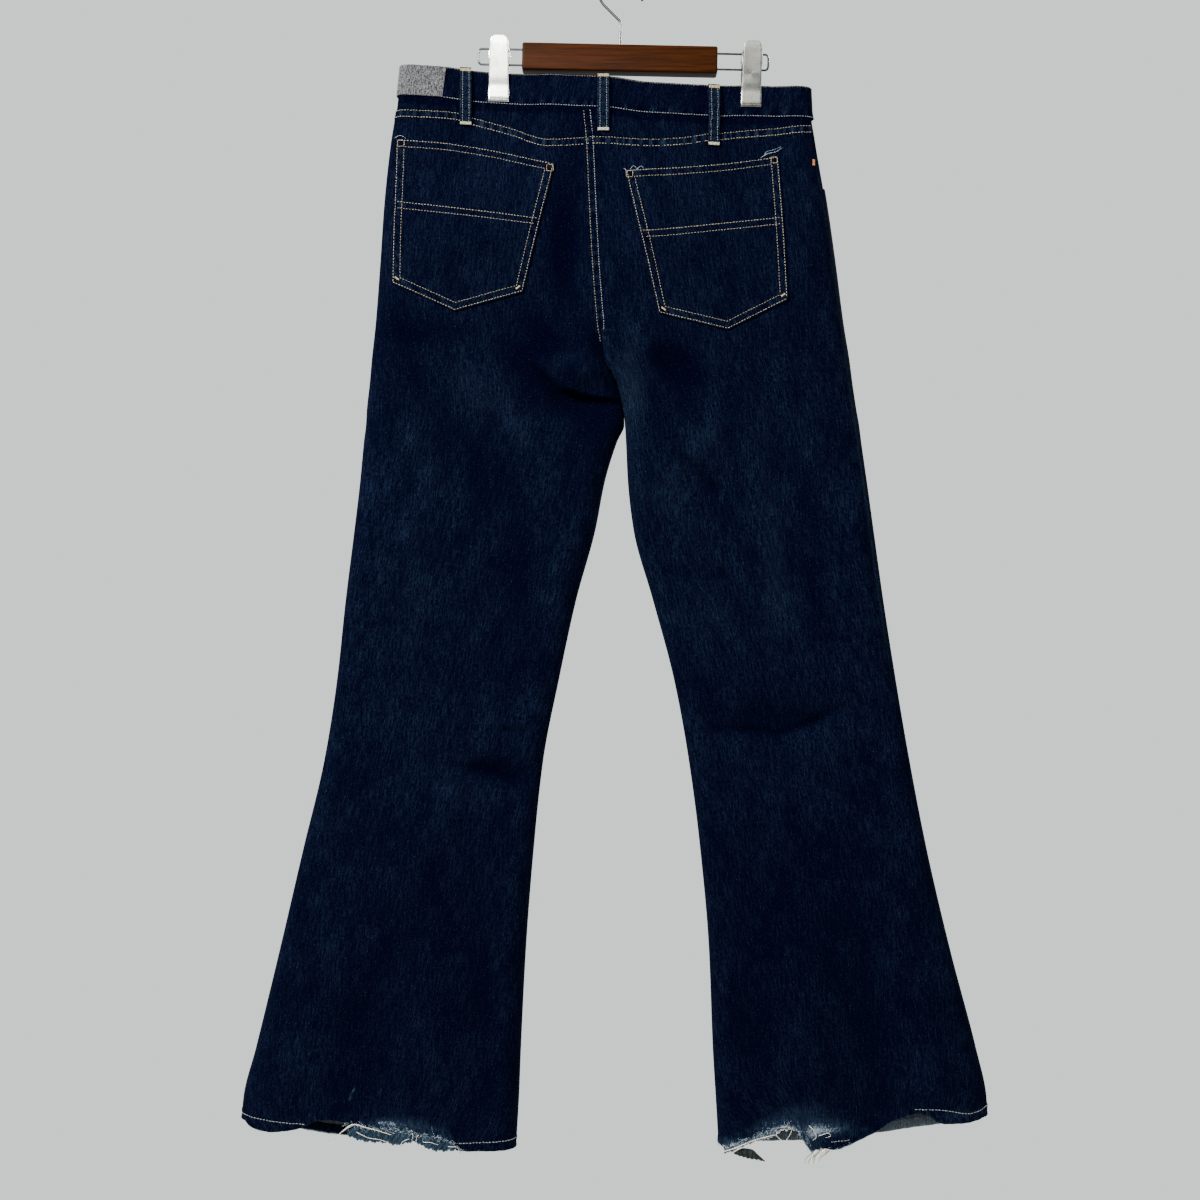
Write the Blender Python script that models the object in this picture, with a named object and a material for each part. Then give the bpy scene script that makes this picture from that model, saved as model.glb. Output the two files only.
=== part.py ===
"""Bootcut jeans hanging by the waistband from a wooden clip hanger.

The origin is the inner top of the hook, where a rail holds it. +Z is up, the back of the jeans
faces -Y and the wearer's left is at -X. Tables are in millimetres, meshes in metres.
"""

import bisect
import math
from collections import namedtuple

import bmesh
import bpy
import numpy as np
from mathutils import Matrix, Vector

MM = 0.001

# ---- cloth ----
DENIM = 1.3          # wall of one layer
BAND_WALL = 2.6      # waistband, two layers and turnings
BAND_PROUD = 0.8     # how far the band stands over the panels below it
HEM_WALL = 2.6       # turned hem
HEM_FOLD = 11.0      # height of the turned hem
POCKET_WALL = 1.2
PATCH_WALL = 0.8
LOOP_WALL = 1.8
SEAM_GAP = 0.3       # between neighbouring pieces
LAY_GAP = 0.5        # under a piece that lies on a curved panel

# ---- cut ----
PATCH_END_X = -183.0
PATCH_COLUMN = 0.3125  # a band column between there and the side fold
BAND_HEIGHT = 33.0
FRONT_DIP = 7.0        # how far the band sags at the centre front
CROTCH_Z = -474.0
BACK_JOIN_Z = -385.0   # where the back halves begin to fold in towards the crotch
FRONT_JOIN_Z = -420.0
SCOOP_WIDTH = 92.0     # front pocket mouth, along the band from the side seam
SCOOP_DEPTH = 72.0
SCOOP_Z = -170.0       # the section along which its width is measured
FLY_WIDTH = 38.0
FLY_LENGTH = 165.0
LAP_TIP_X = 18.0       # outer end of the band, past the centre front
LAP_UNDER_X = -24.0    # inner end, tucked under it
LOOP_WIDTH = 12.0
FACING_PAST = 12.0     # how far a pocket facing runs on past the mouth's inner end
FACING_BELOW = 16.0    # and below the mouth's edge
BUTTON_X = 3.0

# ---- hanger, before it tilts ----
TILT = math.radians(1.2)
BAR = (202.0, 18.0, 28.0)
BAR_TOP_Z = -81.6
WIRE = 2.8
HOOK_RADIUS = 24.0
HOOK_TIP_TURN = math.radians(-25)   # where the arc ends, below level
HOOK_STEPS = 26
STEM_TOP_Z = -55.0
RAIL_WIRE = 2.2
RAIL_Z = (-86.8, -103.0)
RAIL_END_X = {"left": -146.5, "right": 154.0}
RAIL_BEND = 4.0
CLIP_X = {"left": -124.5, "right": 136.5}
CLIP_WIDTH = 21.0
CLIP_METAL = 1.2
JAW_Y = 4.1
HANDLE_Y = 12.5
EAR_METAL = 1.2
EAR_STANDS_IN = 2.0    # the front plate's ears lie this far inside the back plate's
EAR_REACH = 3.2        # past the middle plane, round the pin
PIN = 3.0
SPRING = 6.4           # over the coils wound on the pin
SPRING_LENGTH = 9.0

CORNER = 0.25   # share of a half section that rounds a fold

# Outline of both legs from the back, and how far the back and the front stand out.
FormRow = namedtuple("FormRow", "z left_outer left_inner right_inner right_outer back front")
FORM = [
    FormRow(-100, -228, -26, -26, 195, 8, 8),
    FormRow(-145, -233, -36, -36, 197, 9, 8),
    FormRow(-180, -239, -33, -33, 199, 13, 11),
    FormRow(-245, -246, -30, -30, 211, 18, 15),
    FormRow(-305, -250, -27, -27, 220, 21, 17),
    FormRow(-370, -255, -22, -22, 230, 21, 18),
    FormRow(-407, -259, -18, -18, 236, 20, 17),
    FormRow(-430, -261, -6, -6, 239, 19, 17),
    FormRow(-457, -264, 1, 1, 243, 18, 16),
    FormRow(-474, -265, 3, 3, 246, 18, 16),
    FormRow(-490, -267, -4, 4, 248, 18, 16),
    FormRow(-532, -271, -17, 6, 254, 17, 16),
    FormRow(-583, -277, -28, 12, 261, 17, 15),
    FormRow(-655, -286, -48, 32, 271, 16, 14),
    FormRow(-738, -295, -66, 54, 284, 14, 13),
    FormRow(-820, -308, -82, 69, 298, 13, 13),
    FormRow(-913, -330, -92, 81, 316, 15, 14),
    FormRow(-1016, -354, -100, 90, 340, 17, 15),
    FormRow(-1119, -379, -105, 94, 367, 19, 17),
    FormRow(-1170, -392, -106, 97, 378, 20, 17),
    FormRow(-1225, -396, -109, 100, 381, 20, 17),
]

# The band lies flat in both clips and gapes between and beside them.
GapeRow = namedtuple("GapeRow", "x back front")
GAPE = [
    GapeRow(-232, 8.0, 8.0),
    GapeRow(-190, 8.0, 8.0),
    GapeRow(-150, 3.0, 3.0),
    GapeRow(-107, 3.0, 3.0),
    GapeRow(-72, 9.0, 9.0),
    GapeRow(-20, 11.5, 12.5),
    GapeRow(45, 11.5, 12.5),
    GapeRow(82, 8.5, 9.0),
    GapeRow(112, 3.0, 3.0),
    GapeRow(156, 3.0, 3.0),
    GapeRow(182, 8.0, 8.0),
    GapeRow(197, 8.0, 8.0),
]
GAPE_FROM_Z = -150.0   # the gape eases into the hips between these heights
GAPE_TO_Z = -290.0

EdgeRow = namedtuple("EdgeRow", "x z")
BAND_TOP = [
    EdgeRow(-228, -102), EdgeRow(-182, -105), EdgeRow(-139, -109), EdgeRow(-73, -112.5),
    EdgeRow(-40, -114.5), EdgeRow(-14, -116), EdgeRow(26, -121.5), EdgeRow(80, -123.5),
    EdgeRow(122, -122.6), EdgeRow(196, -125),
]
YOKE_SEAM = [
    EdgeRow(-230, -148), EdgeRow(-171, -151), EdgeRow(-154, -155.5), EdgeRow(-112, -167),
    EdgeRow(-73, -179), EdgeRow(-30, -177), EdgeRow(26, -180), EdgeRow(59, -178),
    EdgeRow(89, -173), EdgeRow(125, -169), EdgeRow(196, -164),
]
HEM_LEFT = [
    EdgeRow(-394, -1194), EdgeRow(-365, -1203), EdgeRow(-302, -1209),
    EdgeRow(-232, -1216), EdgeRow(-169, -1222), EdgeRow(-108, -1224),
]
HEM_RIGHT = [
    EdgeRow(100, -1222), EdgeRow(168, -1219), EdgeRow(238, -1213),
    EdgeRow(298, -1204), EdgeRow(343, -1194), EdgeRow(380, -1187),
]

# How far wear has eaten up into the back hems, by place across the leg.
WearRow = namedtuple("WearRow", "x rise")
WEAR_LEFT = [
    WearRow(-342, 0), WearRow(-320, 6), WearRow(-304, 12), WearRow(-285, 12),
    WearRow(-262, 8), WearRow(-237, 7), WearRow(-192, 7), WearRow(-169, 2), WearRow(-152, 0),
]
WEAR_RIGHT = [
    WearRow(112, 0), WearRow(130, 8), WearRow(146, 16), WearRow(171, 21), WearRow(184, 18),
    WearRow(198, 1), WearRow(214, 3), WearRow(244, 6), WearRow(272, 13), WearRow(305, 21),
    WearRow(320, 8), WearRow(343, 0),
]

# Soft swells (+) and troughs (-): centre, reach along and across, turn from level, height.
FoldRow = namedtuple("FoldRow", "side x z along across turn lift")
FOLDS = [
    FoldRow("back", -46, -416, 34, 13, -10, 6.0),
    FoldRow("back", -40, -446, 30, 12, 20, -4.0),
    FoldRow("back", 60, -520, 120, 26, 40, 3.0),
    FoldRow("back", -150, -500, 120, 26, -40, -3.0),
    FoldRow("back", 160, -776, 60, 16, 0, -3.5),
    FoldRow("back", 240, -850, 90, 18, -50, 3.0),
    FoldRow("back", -128, -832, 46, 14, -8, -3.5),
    FoldRow("back", -200, -900, 110, 24, 60, 3.0),
    FoldRow("front", 60, -470, 90, 20, 35, 3.0),
    FoldRow("front", -60, -480, 90, 20, -35, 3.0),
    FoldRow("front", -190, -800, 70, 20, 10, -3.0),
    FoldRow("front", 190, -760, 70, 20, -10, -3.0),
]

# Outseams, in shares of a half section: + on the back half, - round on the front half.
SeamRow = namedtuple("SeamRow", "z left right")
OUTSEAM = [
    SeamRow(-100, -0.29, 0.134),
    SeamRow(-400, -0.26, 0.085),
    SeamRow(-1225, -0.19, 0.095),
]

PocketRow = namedtuple("PocketRow", "leg inner_top sag outer_top outer_low point inner_low")
POCKETS = [
    PocketRow("left", (-69, -206), 3.0, (-232, -180), (-235, -331), (-171, -360), (-101, -340)),
    PocketRow("right", (3, -213), 3.0, (162, -197), (170, -348), (108, -379), (37, -362)),
]
# Shares across a pocket, closer where it rounds the side fold.
POCKET_COLUMNS = [0.0, 0.025, 0.06, 0.11, 0.2, 0.35, 0.5, 0.75, 1.0]
POCKET_ROWS = 6

LoopRow = namedtuple("LoopRow", "name side x top foot")
LOOPS = [
    LoopRow("belt_loop_back_left", "back", -161.5, -105.0, -164.0),
    LoopRow("belt_loop_back_centre", "back", -19.0, -113.0, -172.0),
    LoopRow("belt_loop_back_right", "back", 94.5, -123.0, -186.0),
    LoopRow("belt_loop_front_left", "front", -88.0, -114.0, -172.0),
    LoopRow("belt_loop_front_right", "front", 86.0, -125.0, -184.0),
]
# A loop's inner face off the panel, from its top end (0) to its foot (1).
ArchRow = namedtuple("ArchRow", "share off")
LOOP_ARCH = [
    ArchRow(0.0, 1.4), ArchRow(0.1, 2.4), ArchRow(0.3, 3.6), ArchRow(0.5, 3.6),
    ArchRow(0.7, 2.4), ArchRow(0.88, 1.2), ArchRow(1.0, 0.8),
]

# The heights at which the panels below the hips are given a row of points.
HIP_Z = -300.0
CROTCH_LEVELS = [-345, -385, -400, -415, -430, -445, -457, -466, CROTCH_Z]
LEG_LEVELS = [-490, -520, -555, -610, -670, -735, -795, -850, -905, -965, -1030, -1100]

# A clip plate by height: distance of its inner face from the jaw's (share of the handle's
# flare), and half its width less than the jaw's.
PlateRow = namedtuple("PlateRow", "z flare narrower")
PLATE = [
    PlateRow(-142.5, 0.0, 0.0), PlateRow(-130.0, 0.0, 0.0), PlateRow(-118.0, 0.25, 0.3),
    PlateRow(-101.6, 0.6, 0.6), PlateRow(-88.2, 0.88, 0.8), PlateRow(-82.0, 1.0, 1.0),
    PlateRow(-78.5, 1.04, 2.6), PlateRow(-77.0, 1.06, 6.0),
]
EAR_ROWS = (3, 4)      # the plate's rows between which the ears stand out

# The button's profile from its seat: radius and height.
ButtonRow = namedtuple("ButtonRow", "radius height")
BUTTON = [
    ButtonRow(0.0, 0.0), ButtonRow(4.5, 0.0), ButtonRow(4.5, 1.4), ButtonRow(8.5, 1.6),
    ButtonRow(8.5, 2.6), ButtonRow(7.6, 3.4), ButtonRow(4.0, 3.7), ButtonRow(0.0, 3.8),
]

COLOURS = {
    "denim": ((0.012, 0.022, 0.052, 1.0), 0.85, 0.0),
    "grey_weave": ((0.30, 0.31, 0.33, 1.0), 0.9, 0.0),
    "brass": ((0.45, 0.24, 0.10, 1.0), 0.35, 1.0),
    "walnut": ((0.07, 0.022, 0.009, 1.0), 0.4, 0.0),
    "chrome": ((0.62, 0.63, 0.65, 1.0), 0.12, 1.0),
    "brushed_steel": ((0.55, 0.55, 0.53, 1.0), 0.35, 1.0),
}


# ---------------------------------------------------------------- tools


class Curve:
    """A smooth curve through (place, value) pairs, level beyond its ends."""

    def __init__(self, pairs):
        ordered = sorted(pairs)
        self.places = [float(p) for p, _ in ordered]
        self.values = [float(v) for _, v in ordered]
        steps = np.diff(self.values) / np.diff(self.places)
        inner = [
            0.0 if a * b <= 0 else 2 * a * b / (a + b)
            for a, b in zip(steps[:-1], steps[1:])
        ]
        self.slopes = [steps[0], *inner, steps[-1]]

    def __call__(self, at):
        if at <= self.places[0]:
            return self.values[0]
        if at >= self.places[-1]:
            return self.values[-1]
        k = bisect.bisect_right(self.places, at) - 1
        step = self.places[k + 1] - self.places[k]
        t = (at - self.places[k]) / step
        rise = t * t * (3 - 2 * t)
        start = t * (1 - t) ** 2 * step * self.slopes[k]
        end = t * t * (t - 1) * step * self.slopes[k + 1]
        return self.values[k] + rise * (self.values[k + 1] - self.values[k]) + start + end


def read(table, place, value):
    return Curve([(getattr(row, place), getattr(row, value)) for row in table])


form = {name: read(FORM, "z", name) for name in FormRow._fields[1:]}
gape = {"back": read(GAPE, "x", "back"), "front": read(GAPE, "x", "front")}
outseam = {"left": read(OUTSEAM, "z", "left"), "right": read(OUTSEAM, "z", "right")}
band_top_back = read(BAND_TOP, "x", "z")
yoke_seam = read(YOKE_SEAM, "x", "z")
hem_line = {"left": read(HEM_LEFT, "x", "z"), "right": read(HEM_RIGHT, "x", "z")}
hem_wear = {"left": read(WEAR_LEFT, "x", "rise"), "right": read(WEAR_RIGHT, "x", "rise")}
plate_flare = read(PLATE, "z", "flare")
front_centre = Curve([(-100, -2), (-300, 0), (CROTCH_Z, 3)])


def ease(value, start, end):
    """0 before start, 1 past end, level at both."""
    t = min(max((value - start) / (end - start), 0.0), 1.0)
    return t * t * (3 - 2 * t)


def spread(start, end, count):
    return [float(v) for v in np.linspace(start, end, count)]


def unit(vector):
    return vector / np.linalg.norm(vector)


# ---------------------------------------------------------------- the garment's form


def closing(side, z):
    """0 where the two legs share one hollow, 1 where each is a tube of its own."""
    join = BACK_JOIN_Z if side == "back" else FRONT_JOIN_Z
    return ease(-z, -join, -CROTCH_Z)


def inner_edge(leg, side, z):
    if side == "front" and z > CROTCH_Z:
        return front_centre(z)
    return form[leg + "_inner"](z)


def depth(side, x, z):
    hips = form[side](z)
    eased = ease(-z, -GAPE_FROM_Z, -GAPE_TO_Z)
    return gape[side](x) * (1 - eased) + hips * eased


def relief(side, x, z):
    total = 0.0
    for fold in FOLDS:
        if fold.side != side:
            continue
        turn = math.radians(fold.turn)
        u = (x - fold.x) * math.cos(turn) + (z - fold.z) * math.sin(turn)
        v = (z - fold.z) * math.cos(turn) - (x - fold.x) * math.sin(turn)
        total += fold.lift * math.exp(-((u / fold.along) ** 2) - (v / fold.across) ** 2)
    return total


def surface(leg, sigma, z):
    """A point of the outer surface: sigma is 0 at the outer fold, +1 at the inner edge round the
    back and -1 at the inner edge round the front."""
    side = "back" if sigma >= 0 else "front"
    share = min(abs(sigma), 1.0)
    outer = form[leg + "_outer"](z)
    inner = inner_edge(leg, side, z)
    toward = 1 if leg == "left" else -1
    closed = closing(side, z)
    inner -= toward * SEAM_GAP * closed
    width = abs(inner - outer)
    fold = 0.75 * (form["back"](z) + form["front"](z))
    if share < CORNER:
        angle = share / CORNER * math.pi / 2
        across = fold * (1 - math.cos(angle))
        fullness = math.sin(angle)
    elif share <= 1 - CORNER:
        across = fold + (width - 2 * fold) * (share - CORNER) / (1 - 2 * CORNER)
        fullness = 1.0
    else:
        left_over = (1 - share) / CORNER
        angle = left_over * math.pi / 2
        turned = closed * closed
        across = width - fold * ((1 - turned) * left_over + turned * (1 - math.cos(angle)))
        fullness = 1 - closed * (1 - math.sin(angle))
    x = outer + across * toward
    away = (depth(side, x, z) + relief(side, x, z)) * fullness
    return np.array([x, -away if side == "back" else away, z])


def normal(leg, sigma, z):
    """The outward direction there."""
    step = 0.002
    low, high = max(sigma - step, -1.0), min(sigma + step, 1.0)
    along = surface(leg, high, z) - surface(leg, low, z)
    up = surface(leg, sigma, z + 0.5) - surface(leg, sigma, z - 0.5)
    outward = np.cross(along, up) * (1 if leg == "left" else -1)
    return unit(outward)


def sigma_at(leg, side, x, z):
    """Where a half section passes a place across the leg."""
    low, high = 0.0, 1.0
    sign = 1 if side == "back" else -1
    toward = 1 if leg == "left" else -1
    for _ in range(40):
        middle = (low + high) / 2
        if (surface(leg, sign * middle, z)[0] - x) * toward < 0:
            low = middle
        else:
            high = middle
    return sign * (low + high) / 2


def off_surface(leg, sigma, z, off):
    return surface(leg, sigma, z) + normal(leg, sigma, z) * off


def band_top(side, x):
    dip = FRONT_DIP * max(0.0, 1 - (x / 110.0) ** 2) ** 2 if side == "front" else 0.0
    return band_top_back(x) - dip


def band_foot(side, x):
    return band_top(side, x) - BAND_HEIGHT


# ---------------------------------------------------------------- meshes


def finish(piece, colour):
    shade, roughness, metallic = COLOURS[colour]
    material = bpy.data.materials.new(piece.name + "_" + colour)
    material.use_nodes = True
    shader = material.node_tree.nodes["Principled BSDF"]
    shader.inputs["Base Color"].default_value = shade
    shader.inputs["Roughness"].default_value = roughness
    shader.inputs["Metallic"].default_value = metallic
    piece.data.materials.append(material)


def add_piece(name, mesh_builder, colour, smooth=True):
    """Turns a bmesh in metres into a named object with its finish."""
    bmesh.ops.recalc_face_normals(mesh_builder, faces=mesh_builder.faces)
    mesh = bpy.data.meshes.new(name)
    mesh_builder.to_mesh(mesh)
    mesh_builder.free()
    piece = bpy.data.objects.new(name, mesh)
    bpy.context.scene.collection.objects.link(piece)
    if smooth:
        mesh.shade_smooth()
        mesh.set_sharp_from_angle(angle=math.radians(40))
    finish(piece, colour)
    return piece


def pulled_in(grid, gap):
    """The grid with its four edges drawn in by half a seam gap."""
    grid = grid.copy()
    half = gap / 2
    for first, second in ((0, 1), (-1, -2)):
        toward = grid[first] - grid[second]
        length = np.linalg.norm(toward, axis=1, keepdims=True)
        grid[first] -= toward / length * half
    for first, second in ((0, 1), (-1, -2)):
        toward = grid[:, first] - grid[:, second]
        length = np.linalg.norm(toward, axis=1, keepdims=True)
        grid[:, first] -= toward / length * half
    return grid


def shell(name, outer, inner, colour):
    """A closed wall between two grids of points with the same rows and columns."""
    rows, columns = outer.shape[:2]
    builder = bmesh.new()
    faces = []
    for grid in (outer, inner):
        faces.append([[builder.verts.new(Vector(point) * MM) for point in row] for row in grid])
    top, under = faces
    for r in range(rows - 1):
        for c in range(columns - 1):
            for sheet in (top, under):
                builder.faces.new(
                    (sheet[r][c], sheet[r][c + 1], sheet[r + 1][c + 1], sheet[r + 1][c])
                )
    for r in range(rows - 1):
        for c in (0, columns - 1):
            builder.faces.new((top[r][c], top[r + 1][c], under[r + 1][c], under[r][c]))
    for c in range(columns - 1):
        for r in (0, rows - 1):
            builder.faces.new((top[r][c], top[r][c + 1], under[r][c + 1], under[r][c]))
    return add_piece(name, builder, colour)


def cloth(name, stations, wall, lift=0.0, colour="denim", gap=SEAM_GAP):
    """A cloth piece from rows of (leg, sigma, z); its outer face lies lift off the form. wall is
    one thickness, or one for each row."""
    walls = wall if isinstance(wall, list) else [wall] * len(stations)
    outer = np.array([[off_surface(*at, lift) for at in row] for row in stations])
    inner = np.array(
        [[off_surface(*at, lift - thick) for at in row] for row, thick in zip(stations, walls)]
    )
    return shell(name, pulled_in(outer, gap), pulled_in(inner, gap), colour)


# ---------------------------------------------------------------- panels


def back_columns(leg, z):
    seam = outseam[leg](z)
    if leg == "left":
        fold = [seam, seam / 2, 0.0, CORNER / 3, CORNER * 2 / 3]
    else:
        fold = [seam, (seam + CORNER) / 2]
    return fold + spread(CORNER, 1 - CORNER, 9) + spread(1 - CORNER, 1, 4)[1:]


def front_columns(leg, z):
    seam = outseam[leg](z)
    if leg == "left":
        fold = [seam, (seam - 0.36) / 2]
    else:
        fold = [seam, 0.0, -CORNER / 3, -CORNER * 2 / 3, -CORNER, -0.31]
    return fold + spread(-0.36, CORNER - 1, 7) + spread(CORNER - 1, -1, 4)[1:]


def leg_rows(leg, columns, top_edge, wear):
    """Rows of stations from the top edge to the hem, and the wall of each row."""
    rows, walls = [], []
    for share in (0.0, 0.25, 0.5, 0.75, 1.0):
        row = []
        for k, sigma in enumerate(columns(leg, HIP_Z + 100)):
            top = top_edge(k, surface(leg, sigma, -160)[0])
            z = top + (HIP_Z - top) * share
            row.append((leg, columns(leg, z)[k], z))
        rows.append(row)
        walls.append(DENIM)
    for z in CROTCH_LEVELS + LEG_LEVELS:
        rows.append([(leg, sigma, z) for sigma in columns(leg, z)])
        walls.append(DENIM)
    for above, wall in ((HEM_FOLD + 1, DENIM), (HEM_FOLD, HEM_WALL), (0.0, HEM_WALL)):
        row = []
        for sigma in columns(leg, -1200):
            x = surface(leg, sigma, -1200)[0]
            rise = hem_wear[leg](x) if wear and 0 < sigma < 0.99 else 0.0
            row.append((leg, sigma, hem_line[leg](x) + above + rise))
        rows.append(row)
        walls.append(wall)
    return rows, walls


def make_back_legs():
    for leg in ("left", "right"):
        rows, walls = leg_rows(leg, back_columns, lambda k, x: yoke_seam(x), True)
        cloth("back_leg_" + leg, rows, walls)


def scoop_distance(leg, sigma):
    """Length along the section from the outseam, at the height of the pocket mouth."""
    stops = spread(outseam[leg](SCOOP_Z), sigma, 24)
    points = [surface(leg, stop, SCOOP_Z) for stop in stops]
    return sum(np.linalg.norm(b - a) for a, b in zip(points, points[1:]))


def scoop_edge(leg, sigma, x):
    reach = min(scoop_distance(leg, sigma) / SCOOP_WIDTH, 1.0)
    return band_foot("front", x) - SEAM_GAP - SCOOP_DEPTH * math.sqrt(1 - reach**2)


def make_front_legs():
    for leg in ("left", "right"):
        sigmas = front_columns(leg, SCOOP_Z)
        tops = [scoop_edge(leg, sigma, surface(leg, sigma, -160)[0]) for sigma in sigmas]
        rows, walls = leg_rows(leg, front_columns, lambda k, x, tops=tops: tops[k], False)
        cloth("front_leg_" + leg, rows, walls)


def make_facings():
    """The cloth behind each pocket mouth, a layer below the front panel."""
    for leg in ("left", "right"):
        stops = spread(outseam[leg](SCOOP_Z), -0.9, 90)
        end = [s for s in stops if scoop_distance(leg, s) < SCOOP_WIDTH + FACING_PAST][-1]
        columns = [s for s in front_columns(leg, SCOOP_Z) if s > end + 0.03] + [end]
        stations = []
        for share in spread(0, 1, 5):
            row = []
            for sigma in columns:
                x = surface(leg, sigma, -160)[0]
                top = band_foot("front", x)
                low = scoop_edge(leg, sigma, x) - FACING_BELOW
                row.append((leg, sigma, top + (low - top) * share))
            stations.append(row)
        name = "front_pocket_facing_" + leg
        cloth(name, stations, DENIM, lift=-(DENIM + SEAM_GAP))


def make_yokes():
    for leg in ("left", "right"):
        columns = back_columns(leg, -150.0)
        stations = []
        for share in (0.0, 0.5, 1.0):
            row = []
            for sigma in columns:
                x = surface(leg, sigma, -150)[0]
                top = band_foot("back", x)
                row.append((leg, sigma, top + (yoke_seam(x) - top) * share))
            stations.append(row)
        cloth("yoke_" + leg, stations, DENIM)


# ---------------------------------------------------------------- waistband


def band_stations():
    """(leg, sigma, drop) round the waist; drop tucks the inner end under the outer one."""
    tuck = BAND_WALL + SEAM_GAP
    stations = []
    for x in spread(LAP_UNDER_X, 56, 7):
        leg = "left" if x < front_centre(-130) else "right"
        sigma = sigma_at(leg, "front", x, -130)
        stations.append((leg, sigma, tuck * (1 - ease(x, LAP_TIP_X + 6, 52))))
    run = abs(sigma_at("right", "front", 68, -130))
    stations += [("right", -s, 0.0) for s in spread(run, CORNER, 7)]
    stations += [("right", s, 0.0) for s in spread(-CORNER, CORNER, 7)[1:]]
    stations += [("right", s, 0.0) for s in spread(CORNER, 1, 13)[1:]]
    stations += [("left", s, 0.0) for s in spread(1, CORNER, 13)[1:]]
    stations += [("left", s, 0.0) for s in spread(CORNER, -CORNER, 7)[1:]]
    stations += [("left", s, 0.0) for s in spread(-CORNER, -1, 13)[1:]]
    for x in (8.0, LAP_TIP_X):
        stations.append(("right", sigma_at("right", "front", x, -130), 0.0))
    return stations


def make_waistband():
    stations = band_stations()
    outer, inner = [], []
    for share in (1.0, 0.5, 0.0):
        rows = ([], [])
        for leg, sigma, drop in stations:
            side = "back" if sigma >= 0 else "front"
            x = surface(leg, sigma, -130)[0]
            z = band_foot(side, x) + BAND_HEIGHT * share
            face = BAND_PROUD - drop
            rows[0].append(off_surface(leg, sigma, z, face))
            rows[1].append(off_surface(leg, sigma, z, face - BAND_WALL))
        outer.append(rows[0])
        inner.append(rows[1])
    outer, inner = np.array(outer), np.array(inner)
    shell("waistband", pulled_in(outer, SEAM_GAP), pulled_in(inner, SEAM_GAP), "denim")


def make_waistband_patch():
    sigmas = [sigma_at("left", "back", PATCH_END_X, -120), PATCH_COLUMN]
    sigmas += spread(CORNER, -CORNER, 7)
    stations = []
    for share in (0.98, 0.5, 0.04):
        row = []
        for sigma in sigmas:
            x = surface("left", sigma, -120)[0]
            row.append(("left", sigma, band_foot("back", x) + BAND_HEIGHT * share))
        stations.append(row)
    lift = BAND_PROUD + LAY_GAP + PATCH_WALL
    cloth("waistband_patch", stations, PATCH_WALL, lift=lift, colour="grey_weave")


# ---------------------------------------------------------------- what lies on the panels


def along_path(points, share):
    """A point at a share of the way along straight runs of equal share."""
    runs = len(points) - 1
    k = min(int(share * runs), runs - 1)
    t = share * runs - k
    return tuple(a + (b - a) * t for a, b in zip(points[k], points[k + 1]))


def make_back_pockets():
    for pocket in POCKETS:
        stations = []
        for down in spread(0, 1, POCKET_ROWS + 1):
            row = []
            for across in POCKET_COLUMNS:
                top_x, top_z = along_path([pocket.outer_top, pocket.inner_top], across)
                sag = pocket.sag if pocket.leg == "right" else -pocket.sag
                top_z -= sag * math.sin(math.pi * across)
                low_x, low_z = along_path(
                    [pocket.outer_low, pocket.point, pocket.inner_low], across
                )
                x = top_x + (low_x - top_x) * down
                z = top_z + (low_z - top_z) * down
                row.append((pocket.leg, sigma_at(pocket.leg, "back", x, z), z))
            stations.append(row)
        cloth("back_pocket_" + pocket.leg, stations, POCKET_WALL, lift=LAY_GAP + POCKET_WALL)


def make_belt_loops():
    for loop in LOOPS:
        centre = form["left_inner"](-150) if loop.side == "back" else front_centre(-150)
        leg = "left" if loop.x < centre else "right"
        outer, inner = [], []
        for row in LOOP_ARCH:
            z = loop.top + (loop.foot - loop.top) * row.share
            faces = ([], [])
            for x in spread(loop.x - LOOP_WIDTH / 2, loop.x + LOOP_WIDTH / 2, 3):
                sigma = sigma_at(leg, loop.side, x, z)
                faces[0].append(off_surface(leg, sigma, z, row.off + LOOP_WALL))
                faces[1].append(off_surface(leg, sigma, z, row.off))
            outer.append(faces[0])
            inner.append(faces[1])
        shell(loop.name, np.array(outer), np.array(inner), "denim")


def make_fly_flap():
    """The fly's double layer on the front, straight at the centre and J-shaped at its free edge."""
    top = band_foot("front", 0)
    stations = []
    for share in spread(0, 1, 9):
        z = top - SEAM_GAP - FLY_LENGTH * share
        edge = FLY_WIDTH * math.sqrt(max(1 - max(share - 0.55, 0.0) ** 2 / 0.45**2, 0.02))
        centre = front_centre(z) - 1.0
        row = []
        for across in spread(0, 1, 5):
            x = centre - edge * across
            row.append(("left", sigma_at("left", "front", x, z), z))
        stations.append(row)
    cloth("fly_flap", stations, DENIM, lift=LAY_GAP + DENIM)


def make_waist_button():
    """A shank button: domed head on a short stem, standing on the band's outer end."""
    z = band_top("front", BUTTON_X) - BAND_HEIGHT / 2
    sigma = sigma_at("right", "front", BUTTON_X, z)
    seat = off_surface("right", sigma, z, BAND_PROUD + SEAM_GAP)
    builder = bmesh.new()
    verts = [builder.verts.new(Vector((row.radius, 0, row.height)) * MM) for row in BUTTON]
    edges = [builder.edges.new(pair) for pair in zip(verts, verts[1:])]
    bmesh.ops.spin(
        builder, geom=verts + edges, cent=(0, 0, 0), axis=(0, 0, 1), angle=math.tau, steps=20,
        use_merge=True, use_duplicate=False,
    )
    bmesh.ops.remove_doubles(builder, verts=builder.verts, dist=1e-6)
    outward = Vector(normal("right", sigma, z))
    turn = outward.to_track_quat("Z", "Y").to_matrix().to_4x4()
    place = Matrix.Translation(Vector(seat) * MM) @ turn
    bmesh.ops.transform(builder, matrix=place, verts=builder.verts)
    add_piece("waist_button", builder, "brass")


# ---------------------------------------------------------------- hanger


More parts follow.
